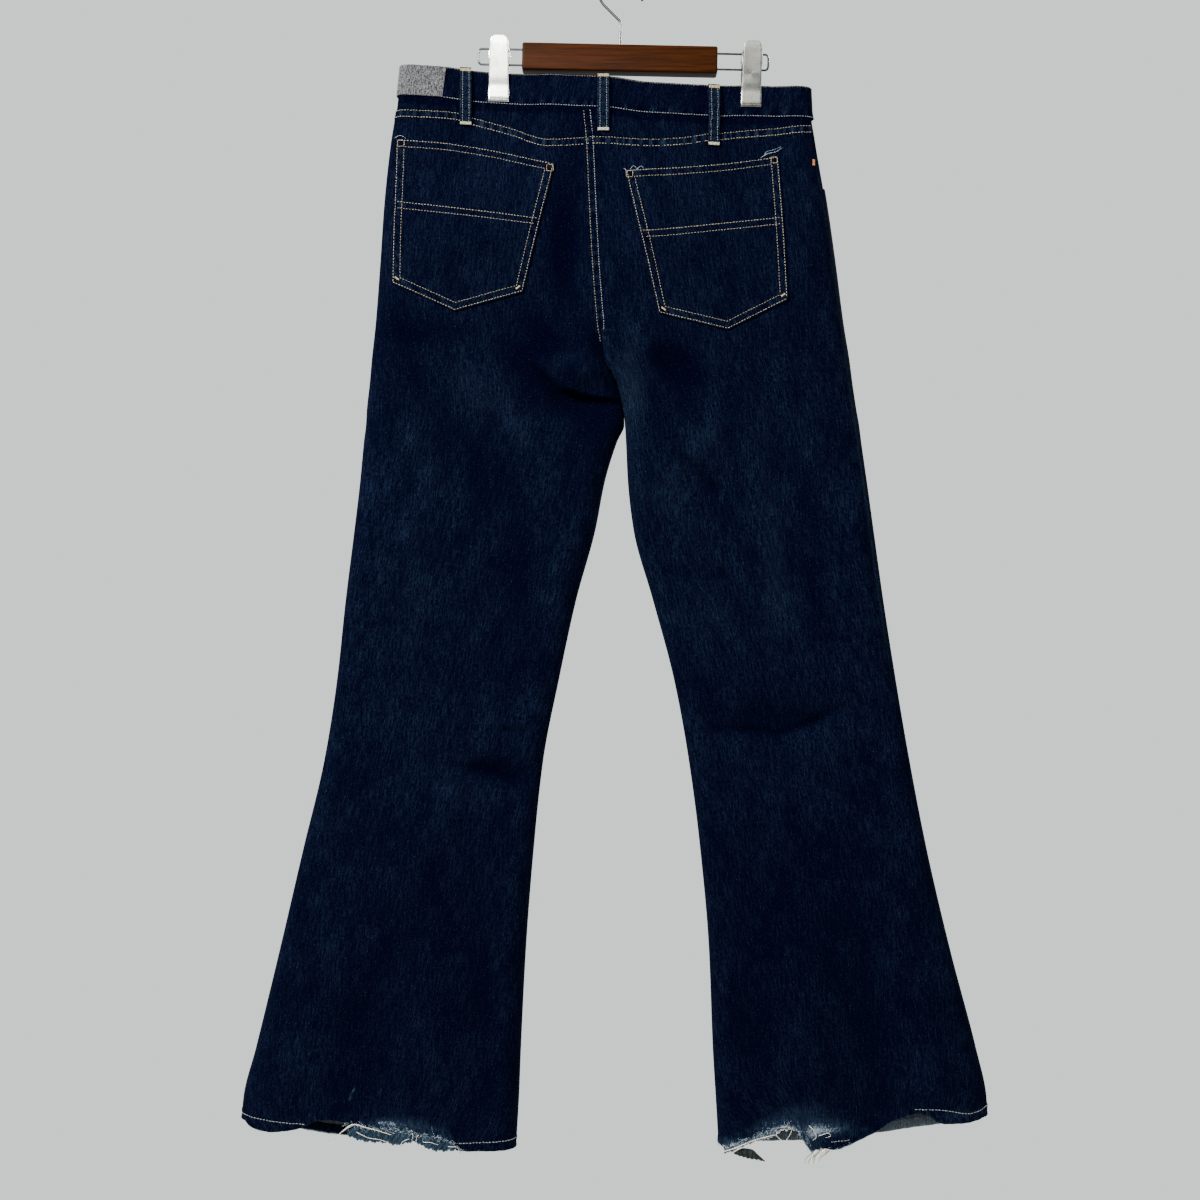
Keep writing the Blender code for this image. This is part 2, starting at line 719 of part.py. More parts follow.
def tilted(builder):
    bmesh.ops.rotate(
        builder, cent=(0, 0, 0), matrix=Matrix.Rotation(TILT, 3, "Y"), verts=builder.verts
    )


def box(builder, centre, size, bevel=0.0):
    place = Matrix.Translation(Vector(centre) * MM) @ Matrix.Diagonal((*(Vector(size) * MM), 1))
    made = bmesh.ops.create_cube(builder, size=1.0, matrix=place)
    if bevel:
        edges = list({edge for vert in made["verts"] for edge in vert.link_edges})
        bmesh.ops.bevel(
            builder, geom=edges, offset=bevel * MM, segments=2, affect="EDGES", profile=0.5
        )


def make_bar():
    builder = bmesh.new()
    box(builder, (0, 0, BAR_TOP_Z - BAR[2] / 2), BAR, bevel=1.5)
    tilted(builder)
    add_piece("hanger_bar", builder, "walnut")


def wire(name, points, thickness, colour, sides=10):
    """A round wire along a path, swept with mitred rings."""
    points = [Vector(point) for point in points]
    builder = bmesh.new()
    rings = []
    across = Vector((0, 1, 0))
    for k, point in enumerate(points):
        before = (point - points[k - 1]).normalized() if k else (points[1] - point).normalized()
        after = (points[k + 1] - point).normalized() if k < len(points) - 1 else before
        heading = (before + after).normalized()
        stretch = 1 / max(heading.dot(before), 0.5)
        flat = heading.cross(across).normalized()
        ring = []
        for n in range(sides):
            angle = math.tau * (n + 0.5) / sides
            offset = flat * math.cos(angle) * stretch + across * math.sin(angle)
            ring.append(builder.verts.new((point + offset * thickness / 2) * MM))
        rings.append(ring)
    for one, two in zip(rings, rings[1:]):
        for n in range(sides):
            m = (n + 1) % sides
            builder.faces.new((one[n], one[m], two[m], two[n]))
    builder.faces.new(rings[0])
    builder.faces.new(rings[-1])
    tilted(builder)
    add_piece(name, builder, colour)


def make_hook():
    """A stem, a straight run out to one side and a round hook back over the stem."""
    centre_z = WIRE / 2 - HOOK_RADIUS
    rise = centre_z - STEM_TOP_Z
    lean = math.asin(HOOK_RADIUS / rise)
    points = [(0, 0, BAR_TOP_Z + SEAM_GAP), (0, 0, STEM_TOP_Z - 3), (-0.6, 0, STEM_TOP_Z)]
    for angle in spread(math.pi + lean, HOOK_TIP_TURN, HOOK_STEPS + 1):
        points.append(
            (HOOK_RADIUS * math.cos(angle), 0, centre_z + HOOK_RADIUS * math.sin(angle))
        )
    wire("hanger_hook", points, WIRE, "chrome")


def make_rails():
    """A loop of wire out of each end of the bar, rounded where it turns back."""
    for side, end in RAIL_END_X.items():
        facing = 1 if end > 0 else -1
        start = facing * (BAR[0] / 2 + SEAM_GAP)
        upper, lower = RAIL_Z
        points = [(start, 0, upper), (end - facing * RAIL_BEND, 0, upper)]
        for angle in (30, 60, 90, 120, 150, 180):
            turn = math.radians(angle)
            x = end - facing * RAIL_BEND * (1 - math.sin(turn))
            drop = RAIL_BEND * (1 - abs(math.cos(turn)))
            points.append((x, 0, upper - drop if angle <= 90 else lower + drop))
        points.append((start, 0, lower))
        wire("hanger_rail_" + side, points, RAIL_WIRE, "chrome", sides=8)


def plate_face(z):
    """The inner face of a clip plate: flat jaw below, flaring handle above."""
    return JAW_Y + (HANDLE_Y - JAW_Y) * plate_flare(z)


def make_clip_plates(side, x):
    """A back and a front plate; each has two ears that lie between the rails."""
    half = CLIP_WIDTH / 2
    plates = (
        ("back", -1, half, -EAR_REACH),
        ("front", 1, half - EAR_STANDS_IN, PIN / 2 + SEAM_GAP),
    )
    for place, facing, ear_x, ear_end in plates:
        builder = bmesh.new()
        rows = []
        for level in PLATE:
            row = []
            for skin in (0.0, CLIP_METAL):
                y = facing * (plate_face(level.z) + skin)
                across = [x + (half - level.narrower) * c for c in (-1.0, -0.8, 0.8, 1.0)]
                row.append([builder.verts.new(Vector((at, y, level.z)) * MM) for at in across])
            rows.append(row)
        for one, two in zip(rows, rows[1:]):
            for low, high in zip(one, two):
                for c in range(3):
                    builder.faces.new((low[c], low[c + 1], high[c + 1], high[c]))
            for c in (0, 3):
                builder.faces.new((one[0][c], two[0][c], two[1][c], one[1][c]))
        for row in (rows[0], rows[-1]):
            for c in range(3):
                builder.faces.new((row[0][c], row[0][c + 1], row[1][c + 1], row[1][c]))
        bmesh.ops.recalc_face_normals(builder, faces=builder.faces)
        low, high = (rows[k] for k in EAR_ROWS)
        add_ears(builder, low, high, facing, ear_end, x, ear_x)
        tilted(builder)
        add_piece("clip_" + side + "_" + place, builder, "brushed_steel", smooth=False)


def add_ears(builder, low, high, facing, ear_end, x, ear_x):
    """Grows the strips at the plate's side edges towards the other plate."""
    for c in (0, 2):
        face_verts = {low[0][c], low[0][c + 1], high[0][c], high[0][c + 1]}
        face = next(f for f in builder.faces if set(f.verts) == face_verts)
        outward = -1 if c == 0 else 1
        for reach in (plate_face(low[0][0].co.z / MM) - EAR_METAL, ear_end):
            face = bmesh.ops.extrude_discrete_faces(builder, faces=[face])["faces"][0]
            middle = sum(vert.co.x for vert in face.verts) / len(face.verts)
            for vert in face.verts:
                inner = (vert.co.x - middle) * outward < 0
                vert.co.x = (x + outward * (ear_x - (EAR_METAL if inner else 0.0))) * MM
                vert.co.y = facing * reach * MM


def make_clip_pin(side, x):
    """The pivot pin, thicker where the spring is wound on it."""
    pin_z = (RAIL_Z[0] + RAIL_Z[1]) / 2
    half = CLIP_WIDTH / 2 - EAR_METAL - SEAM_GAP
    wound = SPRING_LENGTH / 2
    half_profile = [(wound, SPRING / 2), (wound, PIN / 2), (half, PIN / 2), (half, 0.0)]
    points = [(-along, out) for along, out in reversed(half_profile)] + half_profile
    builder = bmesh.new()
    verts = [builder.verts.new(Vector((along, 0, out)) * MM) for along, out in points]
    edges = [builder.edges.new(pair) for pair in zip(verts, verts[1:])]
    bmesh.ops.spin(
        builder, geom=verts + edges, cent=(0, 0, 0), axis=(1, 0, 0), angle=math.tau, steps=12,
        use_merge=True, use_duplicate=False,
    )
    bmesh.ops.remove_doubles(builder, verts=builder.verts, dist=1e-6)
    bmesh.ops.translate(builder, vec=Vector((x, 0, pin_z)) * MM, verts=builder.verts)
    tilted(builder)
    add_piece("clip_" + side + "_pin", builder, "brushed_steel")


def main():
    for old in list(bpy.data.objects):
        bpy.data.objects.remove(old, do_unlink=True)
    make_waistband()
    make_waistband_patch()
    make_yokes()
    make_back_legs()
    make_front_legs()
    make_facings()
    make_back_pockets()
    make_fly_flap()
    make_belt_loops()
    make_waist_button()
    make_bar()
    make_hook()
    make_rails()
    for side, x in CLIP_X.items():
        make_clip_plates(side, x)
        make_clip_pin(side, x)


main()
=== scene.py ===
"""Dark bootcut jeans hanging by the waistband from a wooden clip hanger, seen from the back.

The tables are in millimetres and the meshes in metres, in the part's own frame: the origin is the
inner top of the hook, +Z is up, the back of the jeans faces -Y and the wearer's left is at -X.
"""

import math
from collections import namedtuple

import bpy
import numpy as np
from mathutils import Matrix, Vector


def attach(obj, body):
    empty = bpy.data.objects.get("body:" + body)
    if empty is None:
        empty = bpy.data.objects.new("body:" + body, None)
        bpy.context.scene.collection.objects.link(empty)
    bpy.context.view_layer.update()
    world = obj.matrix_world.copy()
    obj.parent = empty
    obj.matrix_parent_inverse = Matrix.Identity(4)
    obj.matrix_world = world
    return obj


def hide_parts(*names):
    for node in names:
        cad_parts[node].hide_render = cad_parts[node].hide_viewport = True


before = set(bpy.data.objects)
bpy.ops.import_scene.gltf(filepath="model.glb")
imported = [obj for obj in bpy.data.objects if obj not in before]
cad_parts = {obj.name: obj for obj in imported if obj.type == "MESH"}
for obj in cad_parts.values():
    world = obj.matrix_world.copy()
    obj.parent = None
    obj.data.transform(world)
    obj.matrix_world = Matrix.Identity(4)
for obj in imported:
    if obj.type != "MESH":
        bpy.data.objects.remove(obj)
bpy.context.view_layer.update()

MM = 0.001

# ---- cloth, as the part is cut ----
DENIM = 1.3
BAND_WALL = 2.6
BAND_PROUD = 0.8
POCKET_WALL = 1.2
PATCH_WALL = 0.8
LOOP_WALL = 1.8
SEAM_GAP = 0.3
LAY_GAP = 0.5
PATCH_END_X = -183.0
BAND_HEIGHT = 33.0
FRONT_DIP = 7.0
CROTCH_Z = -474.0
BACK_JOIN_Z = -385.0
FRONT_JOIN_Z = -420.0
SCOOP_WIDTH = 92.0
SCOOP_DEPTH = 72.0
SCOOP_Z = -170.0
PATCH_Z = -120.0
BAND_Z = -130.0
YOKE_Z = -150.0
MOUTH_Z = -160.0
HEM_Z = -1200.0
FACING_PAST = 12.0
FACING_BELOW = 16.0
FLY_WIDTH = 38.0
FLY_LENGTH = 165.0
LAP_TIP_X = 18.0
LAP_UNDER_X = -24.0
LOOP_WIDTH = 12.0
BUTTON_X = 3.0
CORNER = 0.25

# ---- hanger, before it tilts ----
TILT = math.radians(1.2)
BAR = (202.0, 18.0, 28.0)
BAR_TOP_Z = -81.6
WIRE = 2.8
HOOK_RADIUS = 24.0
HOOK_TIP_TURN = math.radians(-25)
STEM_TOP_Z = -55.0
RAIL_WIRE = 2.2
RAIL_Z = (-86.8, -103.0)
RAIL_END_X = {"left": -146.5, "right": 154.0}
RAIL_BEND = 4.0
CLIP_X = {"left": -124.5, "right": 136.5}
CLIP_WIDTH = 21.0
CLIP_METAL = 1.2
JAW_Y = 4.1
HANDLE_Y = 12.5
PIN = 3.0
SPRING = 6.4
SPRING_LENGTH = 9.0

# ---- stitching ----
STITCH = 3.1          # from one stitch to the next
ROW_APART = 6.6       # between the two rows of a double seam
THREAD = 0.7          # thickness of the topstitching thread
EDGE_ROW = 1.6        # from a pocket's edge to its outer row
scatter = np.random.default_rng(11)
LEGS = ("left", "right")
TOWARD = {"left": 1, "right": -1}   # from each leg's outer fold to the middle, along x


def table(columns, *rows):
    """A table's rows, each a tuple with named columns."""
    row = namedtuple("row", columns)
    return [row(*values) for values in rows]


FORM = table(
    "z left_outer left_inner right_inner right_outer back front",
    (-100, -228, -26, -26, 195, 8, 8),
    (-145, -233, -36, -36, 197, 9, 8),
    (-180, -239, -33, -33, 202, 13, 11),
    (-245, -246, -30, -30, 213, 18, 15),
    (-305, -250, -27, -27, 221.5, 21, 17),
    (-370, -255, -22, -22, 230, 21, 18),
    (-407, -259, -18, -18, 236, 20, 17),
    (-430, -261, -6, -6, 239, 19, 17),
    (-457, -264, 1, 1, 243, 18, 16),
    (-474, -265, 3, 3, 246, 18, 16),
    (-490, -267, -4, 4, 248, 18, 16),
    (-532, -271, -17, 6, 254, 17, 16),
    (-583, -277, -27, 12, 261, 17, 15),
    (-655, -286, -46.8, 32, 271, 16, 14),
    (-738, -295, -64.8, 54, 284, 14, 13),
    (-820, -308, -80.8, 69, 298, 13, 13),
    (-913, -330, -90.8, 81, 316, 15, 14),
    (-1016, -354, -98.8, 90, 340, 17, 15),
    (-1119, -379, -104, 94, 367, 19, 17),
    (-1170, -392, -106, 97, 378, 20, 17),
    (-1225, -396, -109, 100, 381, 20, 17),
)

GAPE = table(
    "x back front",
    (-232, 8, 8), (-190, 8, 8), (-150, 3, 3), (-107, 3, 3), (-72, 9, 9), (-20, 11.5, 12.5),
    (45, 11.5, 12.5), (82, 8.5, 9), (112, 3, 3), (156, 3, 3), (182, 8, 8), (197, 8, 8),
)
GAPE_FROM_Z = -150.0
GAPE_TO_Z = -290.0

BAND_TOP = table(
    "x z",
    (-228, -102), (-182, -105), (-139, -109), (-73, -112.5), (-40, -114.5), (-14, -116),
    (26, -121.5), (80, -123.5), (122, -122.6), (196, -125),
)
YOKE_SEAM = table(
    "x z",
    (-230, -148), (-171, -151), (-154, -155.5), (-112, -167), (-73, -179), (-30, -177),
    (26, -180), (59, -178), (89, -173), (125, -169), (196, -164),
)
# The lower edge of each panel, worn or whole, from the outer fold inwards and outwards again.
HEM_EDGE = {
    ("left", "back"): table(
        "x z",
        (-389, -1190.6), (-376, -1196.9), (-357, -1199.2), (-342, -1198), (-327, -1195.3),
        (-315, -1189.3), (-302, -1188.3), (-289, -1190.3), (-280, -1192.5), (-236, -1198.4),
        (-219, -1198.5), (-208, -1201.6), (-186, -1205.5), (-172, -1211.7), (-168, -1219),
        (-150, -1220), (-108, -1220.3),
    ),
    ("left", "front"): table(
        "x z",
        (-389, -1190.6), (-375, -1198), (-357, -1203), (-340, -1207), (-328, -1209.5),
        (-294, -1214), (-250, -1217), (-200, -1219), (-150, -1221), (-108, -1220.3),
    ),
    ("right", "back"): table(
        "x z",
        (99, -1217.8), (108, -1216.9), (123, -1209.8), (142, -1202.6), (156, -1198.5),
        (164, -1195.4), (172, -1194.4), (179, -1197), (183, -1204.6), (188, -1213.9),
        (194, -1220), (201, -1217.4), (208, -1216.4), (216, -1217.8), (233, -1213),
        (245, -1207.3), (264, -1198.6), (272, -1192.9), (289, -1186.1), (306, -1181.3),
        (315, -1183.7), (324, -1189.9), (331, -1191.2), (355, -1189.9), (376, -1186.1),
    ),
    ("right", "front"): table(
        "x z",
        (99, -1217.8), (120, -1220.5), (148, -1221.3), (186, -1220.8), (230, -1217),
        (271, -1211.5), (296, -1207.5), (331, -1203.5), (350, -1199), (376, -1186.5),
    ),
}
# Where the back hems have worn through, and the lower edge of the turning left bare there.
WORN_SPAN = {"left": (-284.0, -169.0), "right": (98.0, 207.0)}
BARE_EDGE = {
    "left": table(
        "x z",
        (-285, -1203), (-280, -1205.5), (-261, -1210.2), (-239, -1211), (-232, -1213.4),
        (-213, -1209.4), (-203, -1214.1), (-188, -1218.8), (-168, -1219.2),
    ),
    "right": table(
        "x z",
        (101, -1220.5), (105, -1224.1), (123, -1215.4), (143, -1208.7), (156, -1204.6),
        (162, -1199.5), (172, -1197.5), (182, -1199),
    ),
}
# The hem's row of stitches on the back, and where it is missing.
HEM_SEAM = {
    "left": table(
        "x z",
        (-390, -1183.4), (-350, -1188.6), (-326, -1191.3), (-166, -1211), (-108, -1209.8),
    ),
    "right": table(
        "x z",
        (214, -1209), (232, -1207.3), (303, -1176.5), (326, -1176.5), (358, -1180.3),
        (376, -1176.2),
    ),
}
HEM_SEAM_LOST = {"left": [(-324, -168)], "right": [(90, 214), (233, 301)]}

# Soft swells (+) and troughs (-): centre, reach along and across, turn from level, height.
SWELLS = {
    "back": table(
        "x z along across turn lift",
        (-46, -416, 34, 13, -10, 9.6), (-40, -446, 30, 12, 20, -6.4),
        (60, -520, 120, 26, 40, 4.8), (-150, -500, 120, 26, -40, -4.8),
        (160, -776, 60, 16, 0, -5.6), (240, -850, 90, 18, -50, 4.8),
        (-128, -832, 46, 14, -8, -5.6), (-200, -900, 110, 24, 60, 4.8),
        # seat and thighs
        (-52, -265, 95, 17, 88, -4.8), (-150, -262, 60, 40, 10, 3.2),
        (-75, -388, 46, 17, -58, -5.6), (-108, -478, 105, 26, -57, 4.8),
        (-205, -430, 80, 20, -60, -3.2), (22, -300, 90, 18, 84, 3.2),
        (56, -425, 46, 17, -50, -5.6), (120, -470, 100, 22, -66, 3.5),
        (170, -560, 120, 24, -72, -3.2), (-215, -620, 130, 26, 82, 3.2),
        (-120, -660, 130, 24, 80, -2.9), (90, -650, 110, 22, -76, 3.2),
        (205, -690, 90, 26, -80, 3.2), (-94, -428, 36, 14, -25, -3.8),
        (61, -414, 24, 12, -50, -3.4), (111, -452, 22, 10, -52, -3.4),
        (40, -480, 90, 14, -82, 2.6),
        # flutes above the hems
        (-335, -1130, 110, 22, 74, 4.2), (-270, -1120, 120, 24, 82, -4.2),
        (-200, -1130, 120, 26, 88, 3.8), (-140, -1100, 130, 18, 92, -3.2),
        (135, -1110, 120, 22, 92, -3.5), (195, -1120, 120, 24, 96, 3.8),
        (262, -1120, 110, 24, 100, -3.8), (325, -1130, 100, 20, 106, 3.8),
    ),
    "front": table(
        "x z along across turn lift",
        (60, -470, 90, 20, 35, 4.8), (-60, -480, 90, 20, -35, 4.8),
        (-190, -800, 70, 20, 10, -4.8), (190, -760, 70, 20, -10, -4.8),
        (-150, -300, 80, 22, -50, 3.5), (150, -310, 80, 22, 52, 3.5),
        (-110, -560, 120, 24, -70, -3.8), (130, -580, 130, 26, 72, -3.5),
        (-215, -660, 120, 26, 80, 3.5), (215, -650, 110, 24, -80, 3.5),
        (-280, -1100, 130, 24, 80, -3.8), (-190, -1110, 130, 26, 88, 3.8),
        (170, -1100, 130, 24, 92, 3.5), (270, -1110, 130, 24, 99, -3.8),
    ),
}

# Sharper creases along a line: lift and reach to its left and to its right, going along it.
CREASES = {
    ("back", "left"): table(
        "line left left_reach right right_reach",
        # the pouch beside the crotch, over a deep shadow
        ([(-96, -404), (-78, -422), (-62, -438), (-44, -445), (-24, -448), (-7, -449),
         (12, -446)], 6.5, 20, -10, 18),
        ([(-82, -434), (-58, -449), (-30, -454), (2, -456)], -4.5, 6, -4.5, 9),
        # the left half dives under the right one
        ([(-36, -350), (-28, -378), (-17, -398), (-10, -415), (-5, -432), (0, -454), (6, -500)],
         -6, 4, -8.5, 11),
        # below the pocket
        ([(-246, -342), (-222, -372), (-190, -414), (-158, -468)], -2.4, 12, -2.4, 26),
        # knees
        ([(-168, -829), (-130, -836), (-88, -852)], -4, 4, -4, 4),
        ([(-132, -788), (-112, -791), (-90, -788)], -3.6, 4, -3.6, 4),
        ([(-172, -824), (-130, -832), (-84, -848)], -3, 13, -3, 8),
        ([(-142, -801), (-112, -799), (-86, -795)], -1.4, 10, -1.4, 7),
        ([(-286, -742), (-250, -760), (-214, -790)], -1.6, 12, -1.6, 18),
        # ripples under the band between the clips
        ([(-96, -138), (-84, -158), (-76, -180)], -1.2, 7, -1.2, 10),
    ),
    ("back", "right"): table(
        "line left left_reach right right_reach",
        # over the left half's edge
        ([(-34, -340), (-27, -378), (-16, -398), (-9, -415), (-4, -432), (1, -454), (8, -540)],
         5, 20, 4, 8),
        # the short one on the thigh
        ([(48, -496), (62, -507), (82, -524), (98, -543), (104, -556)], -1, 14, -4.4, 9),
        ([(52, -497), (66, -509), (82, -523), (96, -541), (102, -553)], -5, 3.5, -5, 3.5),
        ([(26, -392), (60, -412), (108, -424)], -1.8, 16, -1.8, 9),
        # knees
        ([(66, -794), (112, -787), (166, -792), (206, -777), (238, -754)], -3.6, 17, -3.6, 9),
        ([(70, -795), (112, -788), (166, -793), (206, -778), (238, -756)], -4.2, 4, -4.2, 4),
        ([(240, -800), (256, -822), (292, -842)], -3.6, 4, -3.6, 4),
        ([(222, -780), (252, -806), (288, -840)], 1.8, 7, -1.6, 14),
        ([(226, -792), (238, -846), (262, -906)], -1.5, 8, -1.5, 16),
        # ripples under the band between the clips
        ([(104, -140), (92, -158), (84, -176)], -1.2, 10, -1.2, 7),
    ),
    ("front", "left"): table(
        "line left left_reach right right_reach",
        # whiskers, crotch and knees
        ([(-20, -420), (-70, -398), (-130, -390)], -2.2, 9, -2.2, 16),
        ([(-24, -452), (-80, -446), (-150, -462)], -2.6, 9, -2.6, 16),
        ([(-104, -792), (-160, -800), (-226, -782)], -3, 9, -3, 15),
        ([(-120, -846), (-172, -852), (-214, -840)], -1.8, 8, -1.8, 13),
    ),
    ("front", "right"): table(
        "line left left_reach right right_reach",
        ([(26, -424), (80, -400), (142, -388)], -2.4, 16, -2.4, 9),
        ([(22, -456), (76, -448), (150, -470)], -2.2, 16, -2.2, 9),
        ([(96, -776), (150, -768), (216, -782)], -3, 15, -3, 9),
        ([(112, -838), (166, -830), (206, -838)], -1.8, 13, -1.8, 8),
    ),
}

OUTSEAM = table(
    "z left right",
    (-100, -0.29, 0.134), (-400, -0.26, 0.085), (-1225, -0.19, 0.095),
)

POCKETS = table(
    "leg inner_top sag outer_top outer_low point inner_low",
    ("left", (-69, -206), -5.0, (-232, -180), (-235, -331), (-171, -360), (-101, -340)),
    ("right", (3, -213), 3.0, (162, -197), (170, -348), (108, -379), (37, -362)),
)

LOOPS = table(
    "name side x top foot",
    ("belt_loop_back_left", "back", -161.5, -105.0, -164.0),
    ("belt_loop_back_centre", "back", -19.0, -113.0, -172.0),
    ("belt_loop_back_right", "back", 94.5, -123.0, -186.0),
    ("belt_loop_front_left", "front", -88.0, -114.0, -172.0),
    ("belt_loop_front_right", "front", 86.0, -125.0, -184.0),
)
LOOP_ARCH = table(
    "share off",
    (0.0, 1.4), (0.1, 2.4), (0.3, 3.6), (0.5, 3.6), (0.7, 2.4), (0.88, 1.2), (1.0, 0.8),
)

# Long loose threads at the worn hems: the points that each follows across the back.
LOOSE_THREADS = table(
    "name finish radius off line",
    ("left_rope", "cotton", 0.72, 0.7, [(-287, -1200), (-275, -1192.5), (-263, -1195.3),
     (-249, -1198.4), (-236, -1202)]),
    ("left_tail", "cotton", 0.36, 0.7, [(-299, -1212.5), (-287, -1200), (-276, -1193.4)]),
    ("left_run", "cotton", 0.42, 0.7, [(-272, -1200), (-266, -1203), (-258, -1206.3),
     (-248, -1207.2), (-239, -1209.8)]),
    ("left_hook", "cotton", 0.46, 0.7, [(-235, -1214), (-227, -1212.5), (-224, -1208.7),
     (-217, -1205.5)]),
    ("left_tick", "cotton", 0.4, 0.7, [(-214, -1200), (-213.5, -1203), (-215, -1207)]),
    ("left_tick_two", "cotton", 0.4, 0.7, [(-208, -1201.6), (-210, -1204.6), (-210.4, -1208.7)]),
    ("left_low", "cotton", 0.36, 0.7, [(-203, -1208.7), (-196, -1209.4), (-188, -1211.7)]),
    ("left_curl", "cotton", 0.4, 0.7, [(-178, -1213.9), (-172, -1214.1), (-168, -1215.7),
     (-166.6, -1220.4), (-168, -1226.6)]),
    ("right_loop", "cotton", 0.36, 0.7, [(159, -1198.6), (158.2, -1202.5), (166, -1209),
     (170.6, -1204.3), (173.5, -1197.7), (169.7, -1193.8), (162, -1194.7)]),
    ("right_curl", "cotton", 0.36, 0.7, [(191, -1191.8), (196.6, -1197.7), (198.6, -1203.4),
     (194.7, -1207.3)]),
    ("right_curl_two", "cotton", 0.36, 0.7, [(200.5, -1202.5), (210, -1199.5), (213, -1202.5),
     (208, -1204.3)]),
    # in the fringe the cream strands are cotton; the darker gold, tobacco and ecru strands among
    # them are painted shade between the strands
    ("right_fringe_one", "cotton", 0.8, 0.7, [(199, -1217), (195, -1223), (193.8, -1229),
     (193.6, -1240)]),
    ("right_fringe_two", "gold", 0.9, 0.9, [(204, -1215.5), (200, -1220), (196.5, -1226),
     (196, -1230.5)]),
    ("right_fringe_three", "cotton", 1.0, 0.6, [(208, -1216), (203, -1221), (200, -1225),
     (198, -1230)]),
    ("right_fringe_four", "gold", 0.8, 1.2, [(212, -1216.5), (207, -1221), (203, -1224.5),
     (201, -1228)]),
    ("right_fringe_five", "tobacco", 0.7, 0.4, [(202, -1217.5), (197, -1223), (191.5, -1228),
     (190, -1231)]),
    ("right_fringe_six", "ecru", 0.45, 0.7, [(195, -1219.5), (189, -1225), (187, -1228),
     (187, -1232)]),
    ("right_rope", "cotton", 0.6, 0.7, [(104, -1222.7), (123.5, -1213), (143, -1206.3),
     (156, -1202.5)]),
    ("right_tail", "cotton", 0.36, 0.7, [(113.6, -1225.7), (113, -1228), (111.6, -1230.3)]),
    # wisps at the pockets' rubbed corners
    ("pocket_wisp_one", "weft", 0.32, 2.2, [(143, -199.5), (152, -194.5), (160, -192.5),
     (166, -189)]),
    ("pocket_wisp_two", "weft", 0.22, 2.2, [(146, -198), (150, -192.5), (156, -191),
     (165, -188)]),
    ("pocket_wisp_three", "weft", 0.28, 2.4, [(2, -212), (6, -215), (12, -209.5), (16, -213.5)]),
    ("pocket_wisp_four", "weft", 0.3, 2.4, [(14, -214.5), (20, -210), (24, -214), (30, -213)]),
    ("pocket_wisp_five", "weft", 0.3, 2.2, [(-233, -179), (-228, -176.5), (-222, -180)]),
)

# Rubbed places on the back, and patches of painted shade (below zero) and painted light (above
# zero) over the seat, thighs and shins: centre, reach across and up, and how bare or how strongly
# painted.
RUBS_AND_PAINTED_LIGHT = {
    "left": table(
        "x z across up share",
        (-278, -1165, 1.5, 3.2, 0.9), (-275, -1157, 1.2, 2.4, 0.6), (-249, -1159, 1.3, 2.6, 0.6),
        (-246, -1190, 5, 2.4, 0.32), (-236, -1191, 6, 2.6, 0.3),
        (-225, -1192, 36, 8, 0.2),
        # the seat: painted shade, and a patch of painted light
        (-63, -290, 14, 45, -0.28), (-196, -380, 42, 14, -0.22), (-92, -402, 34, 20, -0.3),
        (-28, -402, 12, 22, -0.22), (-185, -440, 44, 50, 0.08), (-30, -485, 26, 40, -0.22),
        # the thighs: painted shade
        (-150, -548, 15, 60, -0.16), (-102, -645, 16, 75, -0.18),
        # the shins: painted shade, and painted light at the knee
        (-205, -985, 60, 110, -0.12), (-150, -860, 60, 24, 0.06),
    ),
    "right": table(
        "x z across up share",
        (210, -1196, 24, 6, 0.55), (190, -1210, 7, 8, 0.3), (196, -1200, 8, 6, 0.4),
        (182, -1183, 38, 13, 0.2), (150, -1197, 22, 4.5, 0.25),
        (112, -1213, 10, 5, 0.25), (350, -1180, 20, 7, 0.12),
        (148, -1190, 16, 3, 0.18),
        # the seat: painted shade, and painted light on the inner thigh
        (10, -425, 14, 60, 0.13), (46, -405, 24, 14, -0.3), (78, -426, 22, 11, -0.22),
        (116, -456, 11, 28, -0.2), (38, -484, 11, 32, -0.2),
        # the thighs: painted shade and painted light
        (196, -620, 14, 95, -0.16), (158, -590, 16, 100, 0.08),
        # the shins: painted shade and painted light
        (190, -990, 80, 90, -0.14), (120, -1040, 16, 50, 0.08),
    ),
}


# ---- camera ----


def make_camera():
    """Square on to the back, a little above the knees."""
    distance, shown = 1.6, 1.236
    camera_data = bpy.data.cameras.new("camera")
    camera_data.sensor_width = 36.0
    camera_data.lens = 36.0 * distance / shown
    camera = bpy.data.objects.new("camera", camera_data)
    camera.location = (-0.0225, -0.01 - distance, -0.655)
    camera.rotation_euler = (math.pi / 2, 0, 0)
    bpy.context.scene.collection.objects.link(camera)
    bpy.context.scene.camera = camera


make_camera()


# ---- materials ----


def linear(hex_colour, alpha=1.0):
    """An sRGB hex colour as the linear colour that a shader takes."""
    channels = [int(hex_colour[i:i + 2], 16) / 255 for i in (1, 3, 5)]
    return (
        *[c / 12.92 if c <= 0.04045 else ((c + 0.055) / 1.055) ** 2.4 for c in channels],
        alpha,
    )


def new_material(name, **settings):
    """A material with its Principled shader's constants set."""
    material = bpy.data.materials.new(name)
    material.use_nodes = True
    shader = material.node_tree.nodes["Principled BSDF"]
    for socket, value in settings.items():
        shader.inputs[socket.replace("_", " ")].default_value = value
    return material, shader


def feed(material, node, inputs):
    """Each input takes a value, an output, or the first live output of another node."""
    for socket, value in inputs.items():
        if isinstance(value, bpy.types.Node):
            value = next(output for output in value.outputs if not output.is_unavailable)
        if isinstance(value, bpy.types.NodeSocket):
            material.node_tree.links.new(value, node.inputs[socket])
        else:
            node.inputs[socket].default_value = value


def add(material, kind, inputs, **settings):
    """Adds a node with its settings, values and links."""
    node = material.node_tree.nodes.new("ShaderNode" + kind)
    for name, value in settings.items():
        setattr(node, name, value)
    feed(material, node, inputs)
    return node


